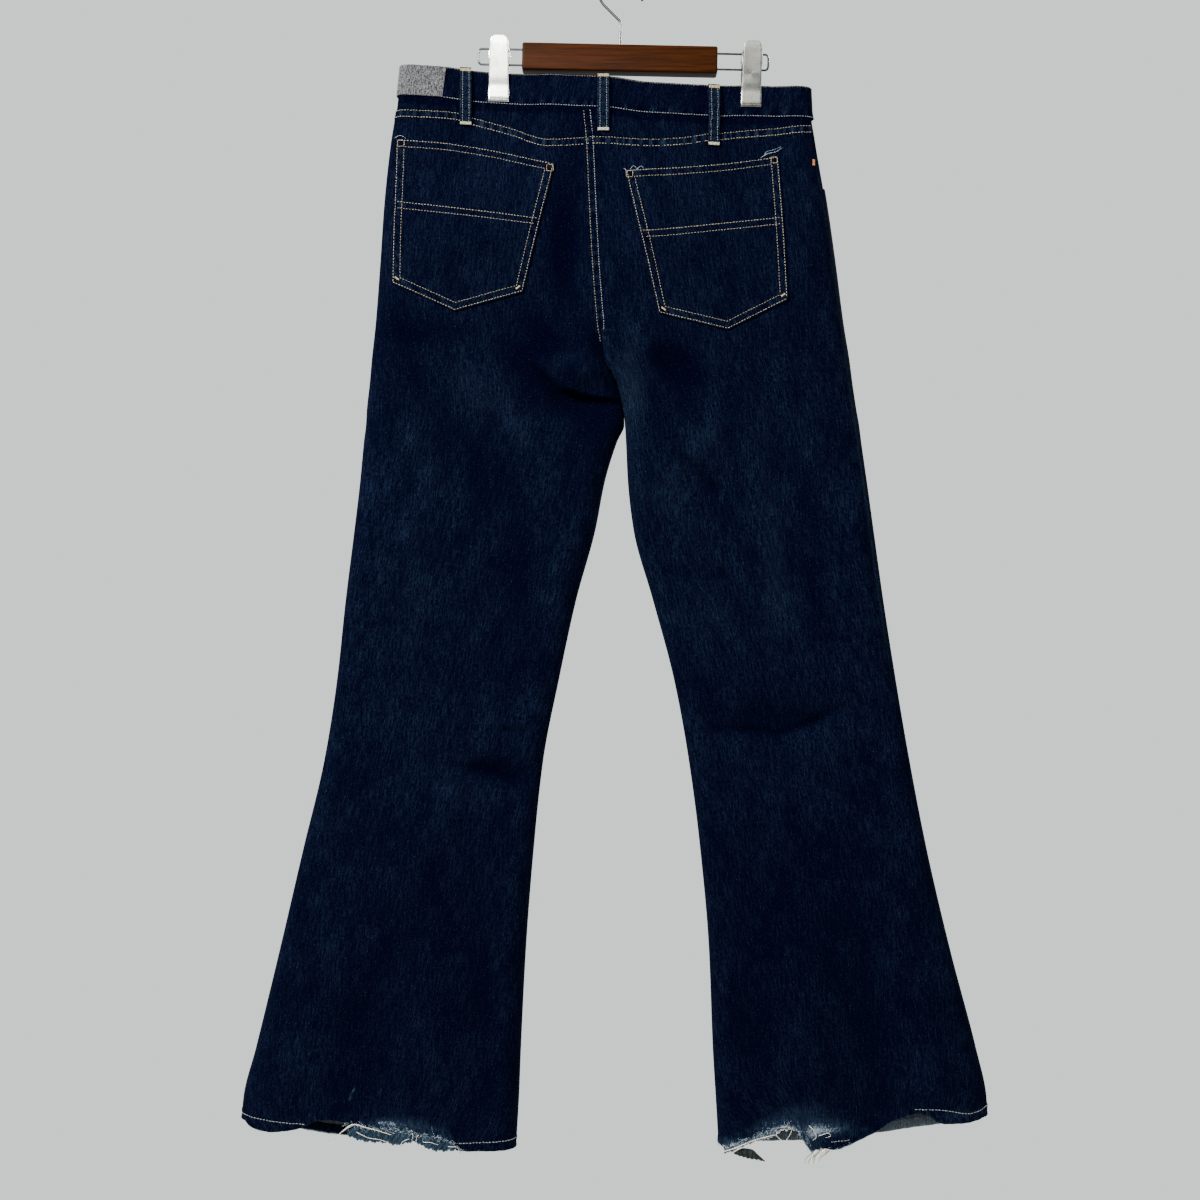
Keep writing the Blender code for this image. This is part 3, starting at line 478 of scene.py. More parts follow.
def make_denim(name, deep, mid, pale, worn, bleach=0.0):
    """Rope-dyed cotton twill, woven tight: the slubs of the warp show as short upright streaks,
    and white weft shows where the face is rubbed."""
    cloth, shader = new_material(name, Roughness=0.9, Sheen_Weight=0.02, Sheen_Roughness=0.5,
            Sheen_Tint=linear("#5f7fb8"), Specular_IOR_Level=0.01)
    cut = add(cloth, "UVMap", {}, uv_map="cut").outputs["UV"]
    wear_and_painted_light = add(cloth, "Attribute", {}, attribute_name="wear_and_painted_light").outputs["Fac"]
    # slubs of the warp, finer ones, specks of weft, and clouds of uneven fading, in metres
    sizes = [(0.0016, 0.016, 3.0, 0.62), (0.0011, 0.0035, 2.0, 0.6), (0.0011, 0.0016, 1.0, 0.5),
             (0.022, 0.06, 3.0, 0.5)]
    marks = []
    for wide, tall, detail, rough in sizes:
        place = add(cloth, "Mapping", {0: cut, "Scale": (1 / wide, 1 / tall, 1)})
        marks.append(add(cloth, "TexNoise", {0: place, "Scale": 1.0, "Detail": detail,
                "Roughness": rough}))
    streaks, fine, specks, clouds = marks
    streak_level = add(cloth, "MapRange", {"Value": streaks, "From Min": 0.45, "From Max": 0.68})
    fine_level = add(cloth, "MapRange", {"Value": fine, "From Min": 0.46, "From Max": 0.7})
    both = add(cloth, "Math", {0: streak_level, 1: fine_level}, operation="ADD")
    cloud_level = add(cloth, "MapRange", {"Value": clouds, "From Min": 0.32, "From Max": 0.68,
            "To Min": 0.36, "To Max": 1.42})
    level = add(cloth, "Math", {0: both, 1: cloud_level}, operation="MULTIPLY")
    # the attribute of wear and painted light sets how pale the warp runs: darker where shade is
    # painted, paler where the cloth is worn and where highlight is painted
    painted_light_and_wear_scale = add(cloth, "Math", {0: wear_and_painted_light, 1: 1.5, 2: 0.5}, operation="MULTIPLY_ADD",
            use_clamp=True)
    half = add(cloth, "Math", {0: level, 1: painted_light_and_wear_scale}, operation="MULTIPLY", use_clamp=True)
    ground = add(cloth, "Mix", {0: half, 6: linear(deep), 7: linear(mid)}, data_type="RGBA")
    speck_level = add(cloth, "MapRange", {"Value": specks, "From Min": 0.6, "From Max": 0.85,
            "To Max": 0.34})
    speck_share = add(cloth, "Math", {0: speck_level, 1: both}, operation="MULTIPLY")
    flecked = add(cloth, "Mix", {0: speck_share, 6: ground, 7: linear(pale)}, data_type="RGBA")
    # rubbed places: the threads that stand highest go pale first
    high_threads = add(cloth, "Math", {0: fine, 1: specks}, operation="MULTIPLY")
    rub = add(cloth, "Math", {0: high_threads, 1: 3.4}, operation="MULTIPLY")
    rub_by_wear = add(cloth, "Math", {0: rub, 1: wear_and_painted_light, 2: bleach}, operation="MULTIPLY_ADD")
    bare = add(cloth, "MapRange", {"Value": rub_by_wear, "From Min": 0.3, "From Max": 0.95})
    # the same attribute fades the cloth towards pale, on worn places and on painted highlights
    fade_level = add(cloth, "Math", {0: both, 1: 0.8}, operation="ADD")
    fade = add(cloth, "Math", {0: fade_level, 1: wear_and_painted_light}, operation="MULTIPLY")
    fade_and_painted_highlight_share = add(cloth, "Math", {0: fade, 1: 0.42}, operation="MULTIPLY", use_clamp=True)
    faded_and_painted_highlight = add(cloth, "Mix", {0: fade_and_painted_highlight_share, 6: flecked, 7: linear(pale)}, data_type="RGBA")
    colour = add(cloth, "Mix", {0: bare, 6: faded_and_painted_highlight, 7: linear(worn)}, data_type="RGBA")
    # the twill line leans to the right at 2 mm a rib, twice the real pitch so that it can be seen
    twill_place = add(cloth, "Mapping", {0: cut, "Scale": (0.628 / 0.0020, -0.628 / 0.0032, 1)})
    twill = add(cloth, "TexWave", {0: twill_place, "Scale": 1.0, "Distortion": 1.2,
            "Detail Scale": 2.0}, bands_direction="DIAGONAL")
    relief_mix = add(cloth, "Math", {0: twill.outputs["Fac"], 1: 0.35, 2: streaks},
            operation="MULTIPLY_ADD")
    relief_sum = add(cloth, "Math", {0: fine, 1: 0.7, 2: relief_mix}, operation="MULTIPLY_ADD")
    bump = add(cloth, "Bump", {"Height": relief_sum, "Strength": 0.75, "Distance": 0.0005})
    feed(cloth, shader, {"Base Color": colour, "Normal": bump})
    return cloth


def make_thread(name, hex_colour, dark_hex):
    """Twisted polyester-core thread: a soft gloss, and a darker line at each turn of the ply."""
    thread, shader = new_material(name, Roughness=0.48, Sheen_Weight=0.15, Specular_IOR_Level=0.4)
    place = add(thread, "TexCoord", {}).outputs["Object"]
    ply = add(thread, "TexNoise", {0: place, "Scale": 1 / 0.0009, "Detail": 1.0})
    level = add(thread, "MapRange", {"Value": ply, "From Min": 0.35, "From Max": 0.62})
    colour = add(thread, "Mix", {0: level, 6: linear(dark_hex), 7: linear(hex_colour)},
            data_type="RGBA")
    bump = add(thread, "Bump", {"Height": ply, "Strength": 0.4, "Distance": 0.0001})
    feed(thread, shader, {"Base Color": colour, "Normal": bump})
    return thread


def make_grey_weave():
    """Grey heather cloth of marled yarn in a fine upright rib: pale and dark fibres mixed."""
    weave, shader = new_material("grey_heather_weave", Roughness=0.92, Sheen_Weight=0.2,
            Specular_IOR_Level=0.2)
    cut = add(weave, "UVMap", {}, uv_map="cut").outputs["UV"]
    marks = []
    for wide, tall in ((0.0010, 0.005), (0.0014, 0.0014)):
        place = add(weave, "Mapping", {0: cut, "Scale": (1 / wide, 1 / tall, 1)})
        marks.append(add(weave, "TexNoise", {0: place, "Scale": 1.0, "Detail": 2.0}))
    mix = add(weave, "Math", dict(enumerate(marks)), operation="ADD")
    level = add(weave, "MapRange", {"Value": mix, "From Min": 0.82, "From Max": 1.2})
    colour = add(weave, "Mix", {0: level, 6: linear("#101214"), 7: linear("#696c70")},
            data_type="RGBA")
    bump = add(weave, "Bump", {"Height": mix, "Strength": 0.6, "Distance": 0.0004})
    feed(weave, shader, {"Base Color": colour, "Normal": bump})
    return weave


def make_walnut():
    """Beech or rubberwood stained walnut under satin lacquer: fine grain runs along the bar."""
    wood, shader = new_material("walnut_stained_wood", Roughness=0.5, Coat_Weight=0.02,
            Coat_Roughness=0.3, Specular_IOR_Level=0.04)
    place = add(wood, "TexCoord", {}).outputs["Object"]
    grain_place = add(wood, "Mapping", {0: place, "Rotation": (0, TILT, 0),
            "Scale": (1 / 0.055, 1 / 0.004, 1 / 0.0022)})
    grain = add(wood, "TexNoise", {0: grain_place, "Scale": 1.0, "Detail": 5.0, "Roughness": 0.6,
            "Distortion": 0.4})
    pore_place = add(wood, "Mapping", {0: place, "Rotation": (0, TILT, 0),
            "Scale": (1 / 0.009, 1 / 0.0009, 1 / 0.0009)})
    pores = add(wood, "TexNoise", {0: pore_place, "Scale": 1.0, "Detail": 2.0})
    level = add(wood, "MapRange", {"Value": grain, "From Min": 0.32, "From Max": 0.7})
    stain = add(wood, "Mix", {0: level, 6: linear("#1c0b02"), 7: linear("#3c1b04")},
            data_type="RGBA")
    pore_level = add(wood, "MapRange", {"Value": pores, "From Min": 0.62, "From Max": 0.74,
            "To Max": 0.55})
    colour = add(wood, "Mix", {0: pore_level, 6: stain, 7: linear("#120502")}, data_type="RGBA")
    bump = add(wood, "Bump", {"Height": pores, "Strength": 0.15, "Distance": 0.0002})
    feed(wood, shader, {"Base Color": colour, "Normal": bump})
    return wood


def make_brushed_steel(name, hex_colour, roughness):
    """Pressed steel sheet, zinc plated and brushed upright: long fine lines spread its gloss."""
    steel, shader = new_material(name, Metallic=1.0, Base_Color=linear(hex_colour),
            Anisotropic=0.4)
    place = add(steel, "TexCoord", {}).outputs["Object"]
    line_place = add(steel, "Mapping", {0: place, "Scale": (1 / 0.0006, 1 / 0.0006, 1 / 0.02)})
    lines = add(steel, "TexNoise", {0: line_place, "Scale": 1.0, "Detail": 3.0})
    smear = add(steel, "TexNoise", {0: place, "Scale": 1 / 0.012, "Detail": 2.0})
    mix = add(steel, "Math", {0: lines, 1: smear}, operation="MULTIPLY")
    gloss = add(steel, "MapRange", {"Value": mix, "From Min": 0.1, "From Max": 0.4,
            "To Min": roughness - 0.1, "To Max": roughness + 0.12})
    bump = add(steel, "Bump", {"Height": lines, "Strength": 0.12, "Distance": 0.0001})
    feed(steel, shader, {"Roughness": gloss, "Normal": bump})
    return steel


def make_wire_steel():
    """Drawn steel wire, chrome plated: a bright line along it and faint draw marks."""
    chrome, shader = new_material("chrome_plated_wire", Metallic=1.0,
            Base_Color=linear("#58595d"))
    place = add(chrome, "TexCoord", {}).outputs["Object"]
    marks = add(chrome, "TexNoise", {0: place, "Scale": 1 / 0.004, "Detail": 3.0})
    gloss = add(chrome, "MapRange", {"Value": marks, "From Min": 0.3, "From Max": 0.7,
            "To Min": 0.14, "To Max": 0.3})
    feed(chrome, shader, {"Roughness": gloss})
    return chrome


def make_copper():
    """Aged copper plate on the button: tarnished in darker and brighter patches, the brighter
    ones glossier.
    """
    copper, shader = new_material("aged_copper_plate", Metallic=1.0)
    place = add(copper, "TexCoord", {}).outputs["Object"]
    tarnish = add(copper, "TexNoise", {0: place, "Scale": 1 / 0.002, "Detail": 4.0})
    level = add(copper, "MapRange", {"Value": tarnish, "From Min": 0.35, "From Max": 0.65})
    colour = add(copper, "Mix", {0: level, 6: linear("#7a4a2b"), 7: linear("#c98a5b")},
            data_type="RGBA")
    gloss = add(copper, "MapRange", {"Value": tarnish, "To Min": 0.5, "To Max": 0.25})
    feed(copper, shader, {"Base Color": colour, "Roughness": gloss})
    return copper


FINISH = {
    "face": make_denim("indigo_denim_face", "#010110", "#101a2d", "#354a60", "#a4b3bf"),
    "worn_face": make_denim("rubbed_denim_face", "#020411", "#162236", "#435870", "#9aaaba"),
    "back": make_denim("denim_wrong_side", "#4d565f", "#7d858d", "#aeb3b6", "#d6d6d2"),
    "fray": make_denim("bare_weft", "#0e1a27", "#2f4355", "#7b8c98", "#e6e5de"),
    # a darker, green-grey copy of the wrong side for the torn hem: the green-grey is the cloth's
    # own, the darkness is painted shade
    "torn": make_denim("shaded_green_grey_back_of_denim", "#161b1a", "#3a4341", "#6b736f", "#a5a89c"),
    "gold": make_thread("gold_topstitch_thread", "#aca58c", "#645c48"),
    "tobacco": make_thread("tobacco_topstitch_thread", "#989078", "#554d3e"),
    "ecru": make_thread("greyed_ecru_thread", "#8d9296", "#52575c"),
    "pale_green": make_thread("faded_bartack_thread", "#c0c1a6", "#73766a"),
    "amber": make_thread("amber_bartack_thread", "#c2ae80", "#6e5d3c"),
    "orange": make_thread("orange_bartack_thread", "#cf8236", "#7b431a"),
    "weft": make_thread("pale_blue_weft", "#a4b4c0", "#566f84"),
    "cotton": make_thread("loose_white_cotton", "#f6f2e0", "#a5a292"),
    "grey_weave": make_grey_weave(),
    "walnut": make_walnut(),
    # two copies of one steel: the left clip's near white, a painted reflection of the bright
    # room, and the right clip's dark, painted shade
    "steel": make_brushed_steel("brushed_zinc_steel", "#fafaf4", 0.26),
    "shaded_steel": make_brushed_steel("shaded_brushed_steel", "#868682", 0.34),
    "wire": make_wire_steel(),
    "copper": make_copper(),
}


# ---- the garment's form ----


class Curve:
    """A smooth curve through (place, value) pairs, level beyond its ends, for whole arrays."""

    def __init__(self, pairs):
        ordered = sorted(pairs)
        self.places = np.array([p for p, _ in ordered], float)
        self.values = np.array([v for _, v in ordered], float)
        steps = np.diff(self.values) / np.diff(self.places)
        self.slopes = np.zeros(len(ordered))
        self.slopes[0], self.slopes[-1] = steps[0], steps[-1]
        for k, (a, b) in enumerate(zip(steps[:-1], steps[1:])):
            self.slopes[k + 1] = 0.0 if a * b <= 0 else 2 * a * b / (a + b)

    def __call__(self, at):
        at = np.clip(at, self.places[0], self.places[-1])
        k = np.clip(np.searchsorted(self.places, at, side="right") - 1, 0, len(self.places) - 2)
        step = self.places[k + 1] - self.places[k]
        t = (at - self.places[k]) / step
        rise = t * t * (3 - 2 * t)
        start = t * (1 - t) ** 2 * step * self.slopes[k]
        end = t * t * (t - 1) * step * self.slopes[k + 1]
        return self.values[k] + rise * (self.values[k + 1] - self.values[k]) + start + end


def read(table, place, value):
    """The curve of one column of a table over another."""
    return Curve([(getattr(row, place), getattr(row, value)) for row in table])


form = {name: read(FORM, "z", name) for name in FORM[0]._fields[1:]}
gape = {"back": read(GAPE, "x", "back"), "front": read(GAPE, "x", "front")}
outseam = {"left": read(OUTSEAM, "z", "left"), "right": read(OUTSEAM, "z", "right")}
band_top_back = read(BAND_TOP, "x", "z")
yoke_seam = read(YOKE_SEAM, "x", "z")
hem_curve = {place: read(rows, "x", "z") for place, rows in HEM_EDGE.items()}
bare_edge = {leg: read(rows, "x", "z") for leg, rows in BARE_EDGE.items()}
hem_seam = {leg: read(rows, "x", "z") for leg, rows in HEM_SEAM.items()}
front_centre = Curve([(-100, -2), (-300, 0), (CROTCH_Z, 3)])


def ease(value, start, end):
    """0 before start, 1 past end, level at both."""
    t = np.clip((value - start) / (end - start), 0.0, 1.0)
    return t * t * (3 - 2 * t)


def bell(value, width):
    """1 at 0, fading out on both sides."""
    return np.exp(-((value / width) ** 2))


def unit(directions):
    """The directions at a length of 1."""
    return directions / np.linalg.norm(directions, axis=-1, keepdims=True)


def spread(start, end, count):
    return [float(v) for v in np.linspace(start, end, count)]


def line_distance(x, z, line):
    """Signed distance from a broken line, plus to its left, and the share of the way along."""
    points = np.array(line, float)
    best = np.full(x.shape, 1e9)
    signed = np.zeros(x.shape)
    along = np.zeros(x.shape)
    runs = len(points) - 1
    for k in range(runs):
        (ax, az), (bx, bz) = points[k], points[k + 1]
        dx, dz = bx - ax, bz - az
        t = np.clip(((x - ax) * dx + (z - az) * dz) / (dx * dx + dz * dz), 0, 1)
        away = np.hypot(x - ax - t * dx, z - az - t * dz)
        side = np.sign(dx * (z - az) - dz * (x - ax))
        nearer = away < best
        best = np.where(nearer, away, best)
        signed = np.where(nearer, away * side, signed)
        along = np.where(nearer, (k + t) / runs, along)
    return signed, along


def relief(leg, side, x, z):
    """How far swells and creases lift the cloth off its plain form."""
    x, z = np.broadcast_arrays(x, z)
    total = np.zeros(x.shape)
    for swell in SWELLS[side]:
        turn = math.radians(swell.turn)
        u = (x - swell.x) * math.cos(turn) + (z - swell.z) * math.sin(turn)
        v = (z - swell.z) * math.cos(turn) - (x - swell.x) * math.sin(turn)
        total += swell.lift * np.exp(-((u / swell.along) ** 2) - (v / swell.across) ** 2)
    for crease in CREASES[side, leg]:
        away, along = line_distance(x, z, crease.line)
        ends = ease(along, 0.0, 0.3) * (1 - ease(along, 0.7, 1.0))
        left = crease.left * np.exp(-np.abs(away) / crease.left_reach)
        right = crease.right * np.exp(-np.abs(away) / crease.right_reach)
        total += ends * (right + (left - right) * (0.5 + 0.5 * np.tanh(away / 2.0)))
    return total


def section(leg, sigma, z):
    """How far across a place lies, and how much of the section's depth it stands out."""
    share = np.minimum(np.abs(sigma), 1.0)
    toward = TOWARD[leg]
    outer = form[leg + "_outer"](z)
    back = sigma >= 0
    closed = ease(-z, -np.where(back, BACK_JOIN_Z, FRONT_JOIN_Z), -CROTCH_Z)
    inner = np.where(back | (z <= CROTCH_Z), form[leg + "_inner"](z), front_centre(z))
    width = np.abs(inner - toward * SEAM_GAP * closed - outer)
    fold = 0.75 * (form["back"](z) + form["front"](z))
    turn = np.minimum(share / CORNER, 1.0) * math.pi / 2
    left_over = np.clip((1 - share) / CORNER, 0, 1)
    inward = left_over * math.pi / 2
    turned = closed * closed
    at_fold = fold * (1 - np.cos(turn))
    between = fold + (width - 2 * fold) * (share - CORNER) / (1 - 2 * CORNER)
    at_inner = width - fold * ((1 - turned) * left_over + turned * (1 - np.cos(inward)))
    across = np.where(share < CORNER, at_fold, np.where(share <= 1 - CORNER, between, at_inner))
    fullness = np.where(share < CORNER, np.sin(turn), 1 - closed * (1 - np.sin(inward)))
    return outer + across * toward, fullness


def surface(leg, sigma, z):
    """Points of the outer surface. sigma is 0 at the outer fold, +1 at the inner edge round the
    back and -1 at the inner edge round the front."""
    sigma, z = np.broadcast_arrays(np.asarray(sigma, float), np.asarray(z, float))
    x, fullness = section(leg, sigma, z)
    eased = ease(-z, -GAPE_FROM_Z, -GAPE_TO_Z)
    away = {}
    for side in ("back", "front"):
        depth = gape[side](x) * (1 - eased) + form[side](z) * eased
        away[side] = (depth + relief(leg, side, x, z)) * fullness
    return np.stack([x, np.where(sigma >= 0, -away["back"], away["front"]), z], -1)


def normals(leg, sigma, z):
    """The outward direction at each point."""
    step = 0.002
    low, high = np.clip(sigma - step, -1, 1), np.clip(sigma + step, -1, 1)
    along = surface(leg, high, z) - surface(leg, low, z)
    up = surface(leg, sigma, z + 0.5) - surface(leg, sigma, z - 0.5)
    outward = np.cross(along, up) * TOWARD[leg]
    return unit(outward)


def sigma_at(leg, side, x, z):
    """Where the half sections pass places across the leg."""
    x, z = np.broadcast_arrays(np.asarray(x, float), np.asarray(z, float))
    low, high = np.zeros(x.shape), np.ones(x.shape)
    sign = 1 if side == "back" else -1
    for _ in range(24):
        middle = (low + high) / 2
        short = (section(leg, sign * middle, z)[0] - x) * TOWARD[leg] < 0
        low = np.where(short, middle, low)
        high = np.where(short, high, middle)
    return sign * (low + high) / 2


def stand_off(leg, sigma, z, *heights):
    """A grid of points at each height off the plain form, then the outward directions."""
    points, outward = surface(leg, sigma, z), normals(leg, sigma, z)
    grids = [points + outward * np.broadcast_to(h, z.shape)[..., None] for h in heights]
    return [*grids, outward]


def run_along(points):
    """Distances from the first of a row of points."""
    return np.concatenate([[0], np.cumsum(np.linalg.norm(np.diff(points, axis=0), axis=1))])


def band_top(side, x):
    dip = FRONT_DIP * np.maximum(0.0, 1 - (x / 110.0) ** 2) ** 2 if side == "front" else 0.0
    return band_top_back(x) - dip


def band_foot(side, x):
    return band_top(side, x) - BAND_HEIGHT


# ---- seams in relief ----


def pucker(along, away, reach=9.0, height=0.45):
    """Small uneven gathers that a row of stitches draws up in the cloth beside it."""
    wave = np.sin(along * 0.68 + 1.7 * np.sin(along * 0.11) + 0.8 * np.sin(along * 0.23))
    return height * wave * bell(away, reach)


def roping_and_painted_shade(along, away, reach=5.0, share=0.1):
    """Wear that follows the gathers, pale where they stand up, and painted shade, darker between
    them.
    """
    return pucker(along, away, reach, share)


def fell(away, width):
    """A raised strip from a seam's edge to width beyond it, with a soft step down."""
    return ease(away, -0.4, 0.8) * (1 - ease(away, width, width + 2.0))


def worn_share(leg, x):
    """1 where the back hem is worn away, 0 where it is whole."""
    start, end = WORN_SPAN[leg]
    return ease(x, start, start + 6) * (1 - ease(x, end - 6, end))


def hem_edge(leg, side, x):
    """The height of the hem's lower edge, ragged where it is worn."""
    edge = hem_curve[leg, side](x)
    if side == "front":
        return edge
    ragged = 0.9 * np.sin(x * 0.9) + 0.7 * np.sin(x * 1.93 + 1) + 0.5 * np.sin(x * 3.1 + 2)
    return edge + worn_share(leg, x) * ragged


def hem_rope(x, above):
    """The slanting ripple, from -1 to 1, that a turned hem pulls into."""
    return np.sin(x * 0.62 + above * 0.5 + 1.3 * np.sin(x * 0.09))


def panel_lift(leg, side, x, z):
    """How far seams, hems and gathers stand off the plain form."""
    above_hem = z - hem_edge(leg, side, x)
    whole = 1.0 if side == "front" else 1 - worn_share(leg, x)
    total = whole * (0.35 + 0.4 * hem_rope(x, above_hem)) * (1 - ease(above_hem, 8.0, 12.5))
    total += 0.3 * np.sin(x * 0.31) * bell(above_hem, 34.0)
    if side == "back":
        below_yoke = yoke_seam(x) - z
        total += 0.75 * fell(below_yoke, 8.8) + pucker(x, below_yoke - 4, 10.0)
        beside = np.abs(x - form[leg + "_inner"](z))
        on_seam = 1 - ease(-z, 384.0, 396.0)
        total += on_seam * (0.6 * (1 - ease(beside, 4.8, 6.6)) + pucker(z, beside, 11.0))
    else:
        beside = np.abs(x - front_centre(z))
        rise = 0.5 * (1 - ease(beside, 5.0, 7.0)) + pucker(z, beside, 11.0)
        total += rise * ease(z, -470, -440)
    return total


def panel_wear_and_painted_light(leg, side, x, z):
    """Where the indigo is rubbed: raised seams, the hem's fold, and the torn back hems. Painted
    shade and light too: shade in the creases' troughs, over the seat, down the shins and between
    gathers, light on the creases' ridges and at the foot of the left front leg, and patches of
    each over the seat, thighs and shins.
    """
    above_hem = z - hem_edge(leg, side, x)
    creased = relief(leg, side, x, z)
    # painted shade in the creases' troughs and painted highlight on their ridges
    wear_and_painted_light = 0.008 * np.maximum(creased, 0) + 0.035 * np.minimum(creased, 0)
    # painted shade: a little darker all over, darker over the seat, where the key light falls
    # strongest, and darker down the shins
    wear_and_painted_light -= 0.01 + 0.05 * ease(-z, 800, 920) + 0.065 * (1 - ease(-z, 350, 470))
    fold = 0.16 + 0.4 * ease(x, 212, 222) * (1 - ease(x, 292, 302))
    if side == "front":
        fold = 0.4 + 0.9 * ease(x, -350, -335) * (1 - ease(x, -292, -280))
        # painted light at the foot of the left front leg, for its inside, which lies in shade
        # behind the back hem
        rubbing_and_painted_light = 0.12 * ease(x, -340, -325) * (1 - ease(x, -275, -255))
        wear_and_painted_light += rubbing_and_painted_light * (1 - ease(above_hem, 12, 24))
    wear_and_painted_light += fold * bell(above_hem, 1.3)
    rope = 0.5 + 0.5 * hem_rope(x, above_hem)
    wear_and_painted_light += 0.12 * rope * (1 - ease(above_hem, 9.0, 13.0))
    if side == "back":
        worn = worn_share(leg, x)
        wear_and_painted_light += worn * (0.3 * np.exp(-above_hem / 1.0) + 0.15 * np.exp(-above_hem / 8.0))
        below_yoke = yoke_seam(x) - z
        # the felled strip is worn paler; along this seam and the seat's the gathers are worn pale
        # on top, with painted shade between them
        wear_and_painted_light += 0.08 * fell(below_yoke, 8.0) + roping_and_painted_shade(x, below_yoke - 4.5, 4.5, 0.24)
        beside = np.abs(x - form[leg + "_inner"](z))
        wear_and_painted_light += roping_and_painted_shade(z, beside - 2, 4.0, 0.2) * (1 - ease(-z, 384.0, 396.0))
        if leg == "right":   # the pressed side seam
            from_side = form["right_outer"](z) - x
            wear_and_painted_light += (0.2 * bell(from_side - 5.5, 1.8)
                     * ease(-z, 190, 230) * (1 - ease(-z, 640, 780)))
        # rubbed places, and patches of painted shade and painted light
        for patch in RUBS_AND_PAINTED_LIGHT[leg]:
            far = ((x - patch.x) / patch.across) ** 2 + ((z - patch.z) / patch.up) ** 2
            wear_and_painted_light += patch.share * np.exp(-far)
    return np.clip(wear_and_painted_light, -0.4, 1.4)


# ---- cloth ----


def lengths(points, axis):
    """Distances run along a grid of points, from its first row or column, in metres."""
    steps = np.linalg.norm(np.diff(points, axis=axis), axis=-1) * MM
    run = np.cumsum(steps, axis=axis)
    return np.concatenate([np.zeros_like(np.take(run, [0], axis=axis)), run], axis=axis)


def pulled_in(grid, gap):
    """The grid with its four edges drawn in by half a seam gap."""
    grid = grid.copy()
    for lines in (grid, grid.swapaxes(0, 1)):
        for first, second in ((0, 1), (-1, -2)):
            toward = lines[first] - lines[second]
            lines[first] -= unit(toward) * gap / 2
    return grid


def new_object(name, mesh, finishes):
    piece = bpy.data.objects.new(name, mesh)
    bpy.context.scene.collection.objects.link(piece)
    for finish in finishes:
        mesh.materials.append(FINISH[finish])
    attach(piece, "root")
    return piece


def shell(name, outer, inner, wear_and_painted_light, finishes, trim_on=None, turned_rows=0):
    """A closed wall between two grids of points. Its UV map is the flat cut in metres, and its
    attribute of wear and painted light tells the finish where the face is rubbed and where shade
    and light are painted on it. A trim has no part of its own. A turned hem shows the face on
    the inside too, over its last rows."""
    rows, columns = outer.shape[:2]
    index = np.arange(rows * columns).reshape(rows, columns)
    a, b = index[:-1, :-1].ravel(), index[:-1, 1:].ravel()
    d, e = index[1:, 1:].ravel(), index[1:, :-1].ravel()
    under = rows * columns
    top, foot, left, right = index[0], index[-1], index[:, 0], index[:, -1]
    quads = [
        np.stack([a, b, d, e], 1),
        np.stack([a, e, d, b], 1) + under,
    ]
    for one, two in ((top[1:], top[:-1]), (foot[:-1], foot[1:]),
                     (left[:-1], left[1:]), (right[1:], right[:-1])):
        quads.append(np.stack([one, two, two + under, one + under], 1))
    faces = np.concatenate(quads)
    r, c = rows // 2, columns // 2
    facing = np.cross(outer[r, c + 1] - outer[r, c], outer[r + 1, c] - outer[r, c])
    if np.dot(facing, outer[r, c] - inner[r, c]) < 0:
        faces = faces[:, ::-1]
    points = np.concatenate([outer.reshape(-1, 3), inner.reshape(-1, 3)]) * MM
    mesh = bpy.data.meshes.new(name)
    mesh.from_pydata(points.tolist(), [], faces.tolist())
    across, down = lengths(outer, 1), lengths(outer, 0)
    across = across - across[:, columns // 2][:, None]
    flat = np.stack([across, -down], -1).reshape(-1, 2)
    flat = np.concatenate([flat, flat])
    corners = np.zeros(len(mesh.loops), int)
    mesh.loops.foreach_get("vertex_index", corners)
    mesh.uv_layers.new(name="cut").data.foreach_set("uv", flat[corners].ravel())
    rubbing_and_painted_light = np.broadcast_to(wear_and_painted_light, (rows, columns)).reshape(-1)
    attribute = mesh.attributes.new("wear_and_painted_light", "FLOAT", "POINT")
    attribute.data.foreach_set("value", np.concatenate([rubbing_and_painted_light, rubbing_and_painted_light]).astype(np.float32))
    slots = np.zeros(len(faces), int)
    wrong_side = len(quads[0]) * 2 - turned_rows * (columns - 1)
    slots[len(quads[0]):wrong_side] = len(finishes) - 1
    mesh.polygons.foreach_set("material_index", slots)
    mesh.shade_smooth()
    mesh.set_sharp_from_angle(angle=math.radians(50))
    mesh.update()
    piece = new_object(name, mesh, finishes)
    if trim_on is None:
        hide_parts(name)
    return piece


def cloth(name, leg, sigma, z, wall, lift=0.0, wear_and_painted_light=0.0, finishes=("face", "back"), drop=0.0,
          turned_rows=0):
    """A piece of the garment over a grid of stations; drop thins its rounded edges."""
    outer, inner, _ = stand_off(leg, sigma, z, lift - drop, lift - wall + drop)
    return shell(name, pulled_in(outer, SEAM_GAP), pulled_in(inner, SEAM_GAP), wear_and_painted_light, finishes,
                 turned_rows=turned_rows)


def edge_shares(count, length, round_off):
    """Shares from 0 to 1, closer at both ends, and how far a rounded edge drops at each."""
    near = np.array([0.0, 0.12, 0.4, 0.75, 1.0]) * round_off / length
    middle = np.linspace(near[-1], 1 - near[-1], count)[1:-1]
    shares = np.concatenate([near, middle, 1 - near[::-1]])
    inside = np.minimum(np.minimum(shares, 1 - shares) * length / round_off, 1.0)
    return shares, round_off * (1 - np.sqrt(1 - (1 - inside) ** 2))


def grid_drop(down, across):
    """The deeper of two drops, one down a grid and one across it."""
    return np.maximum(down[:, None], across[None, :])


# ---- panels ----


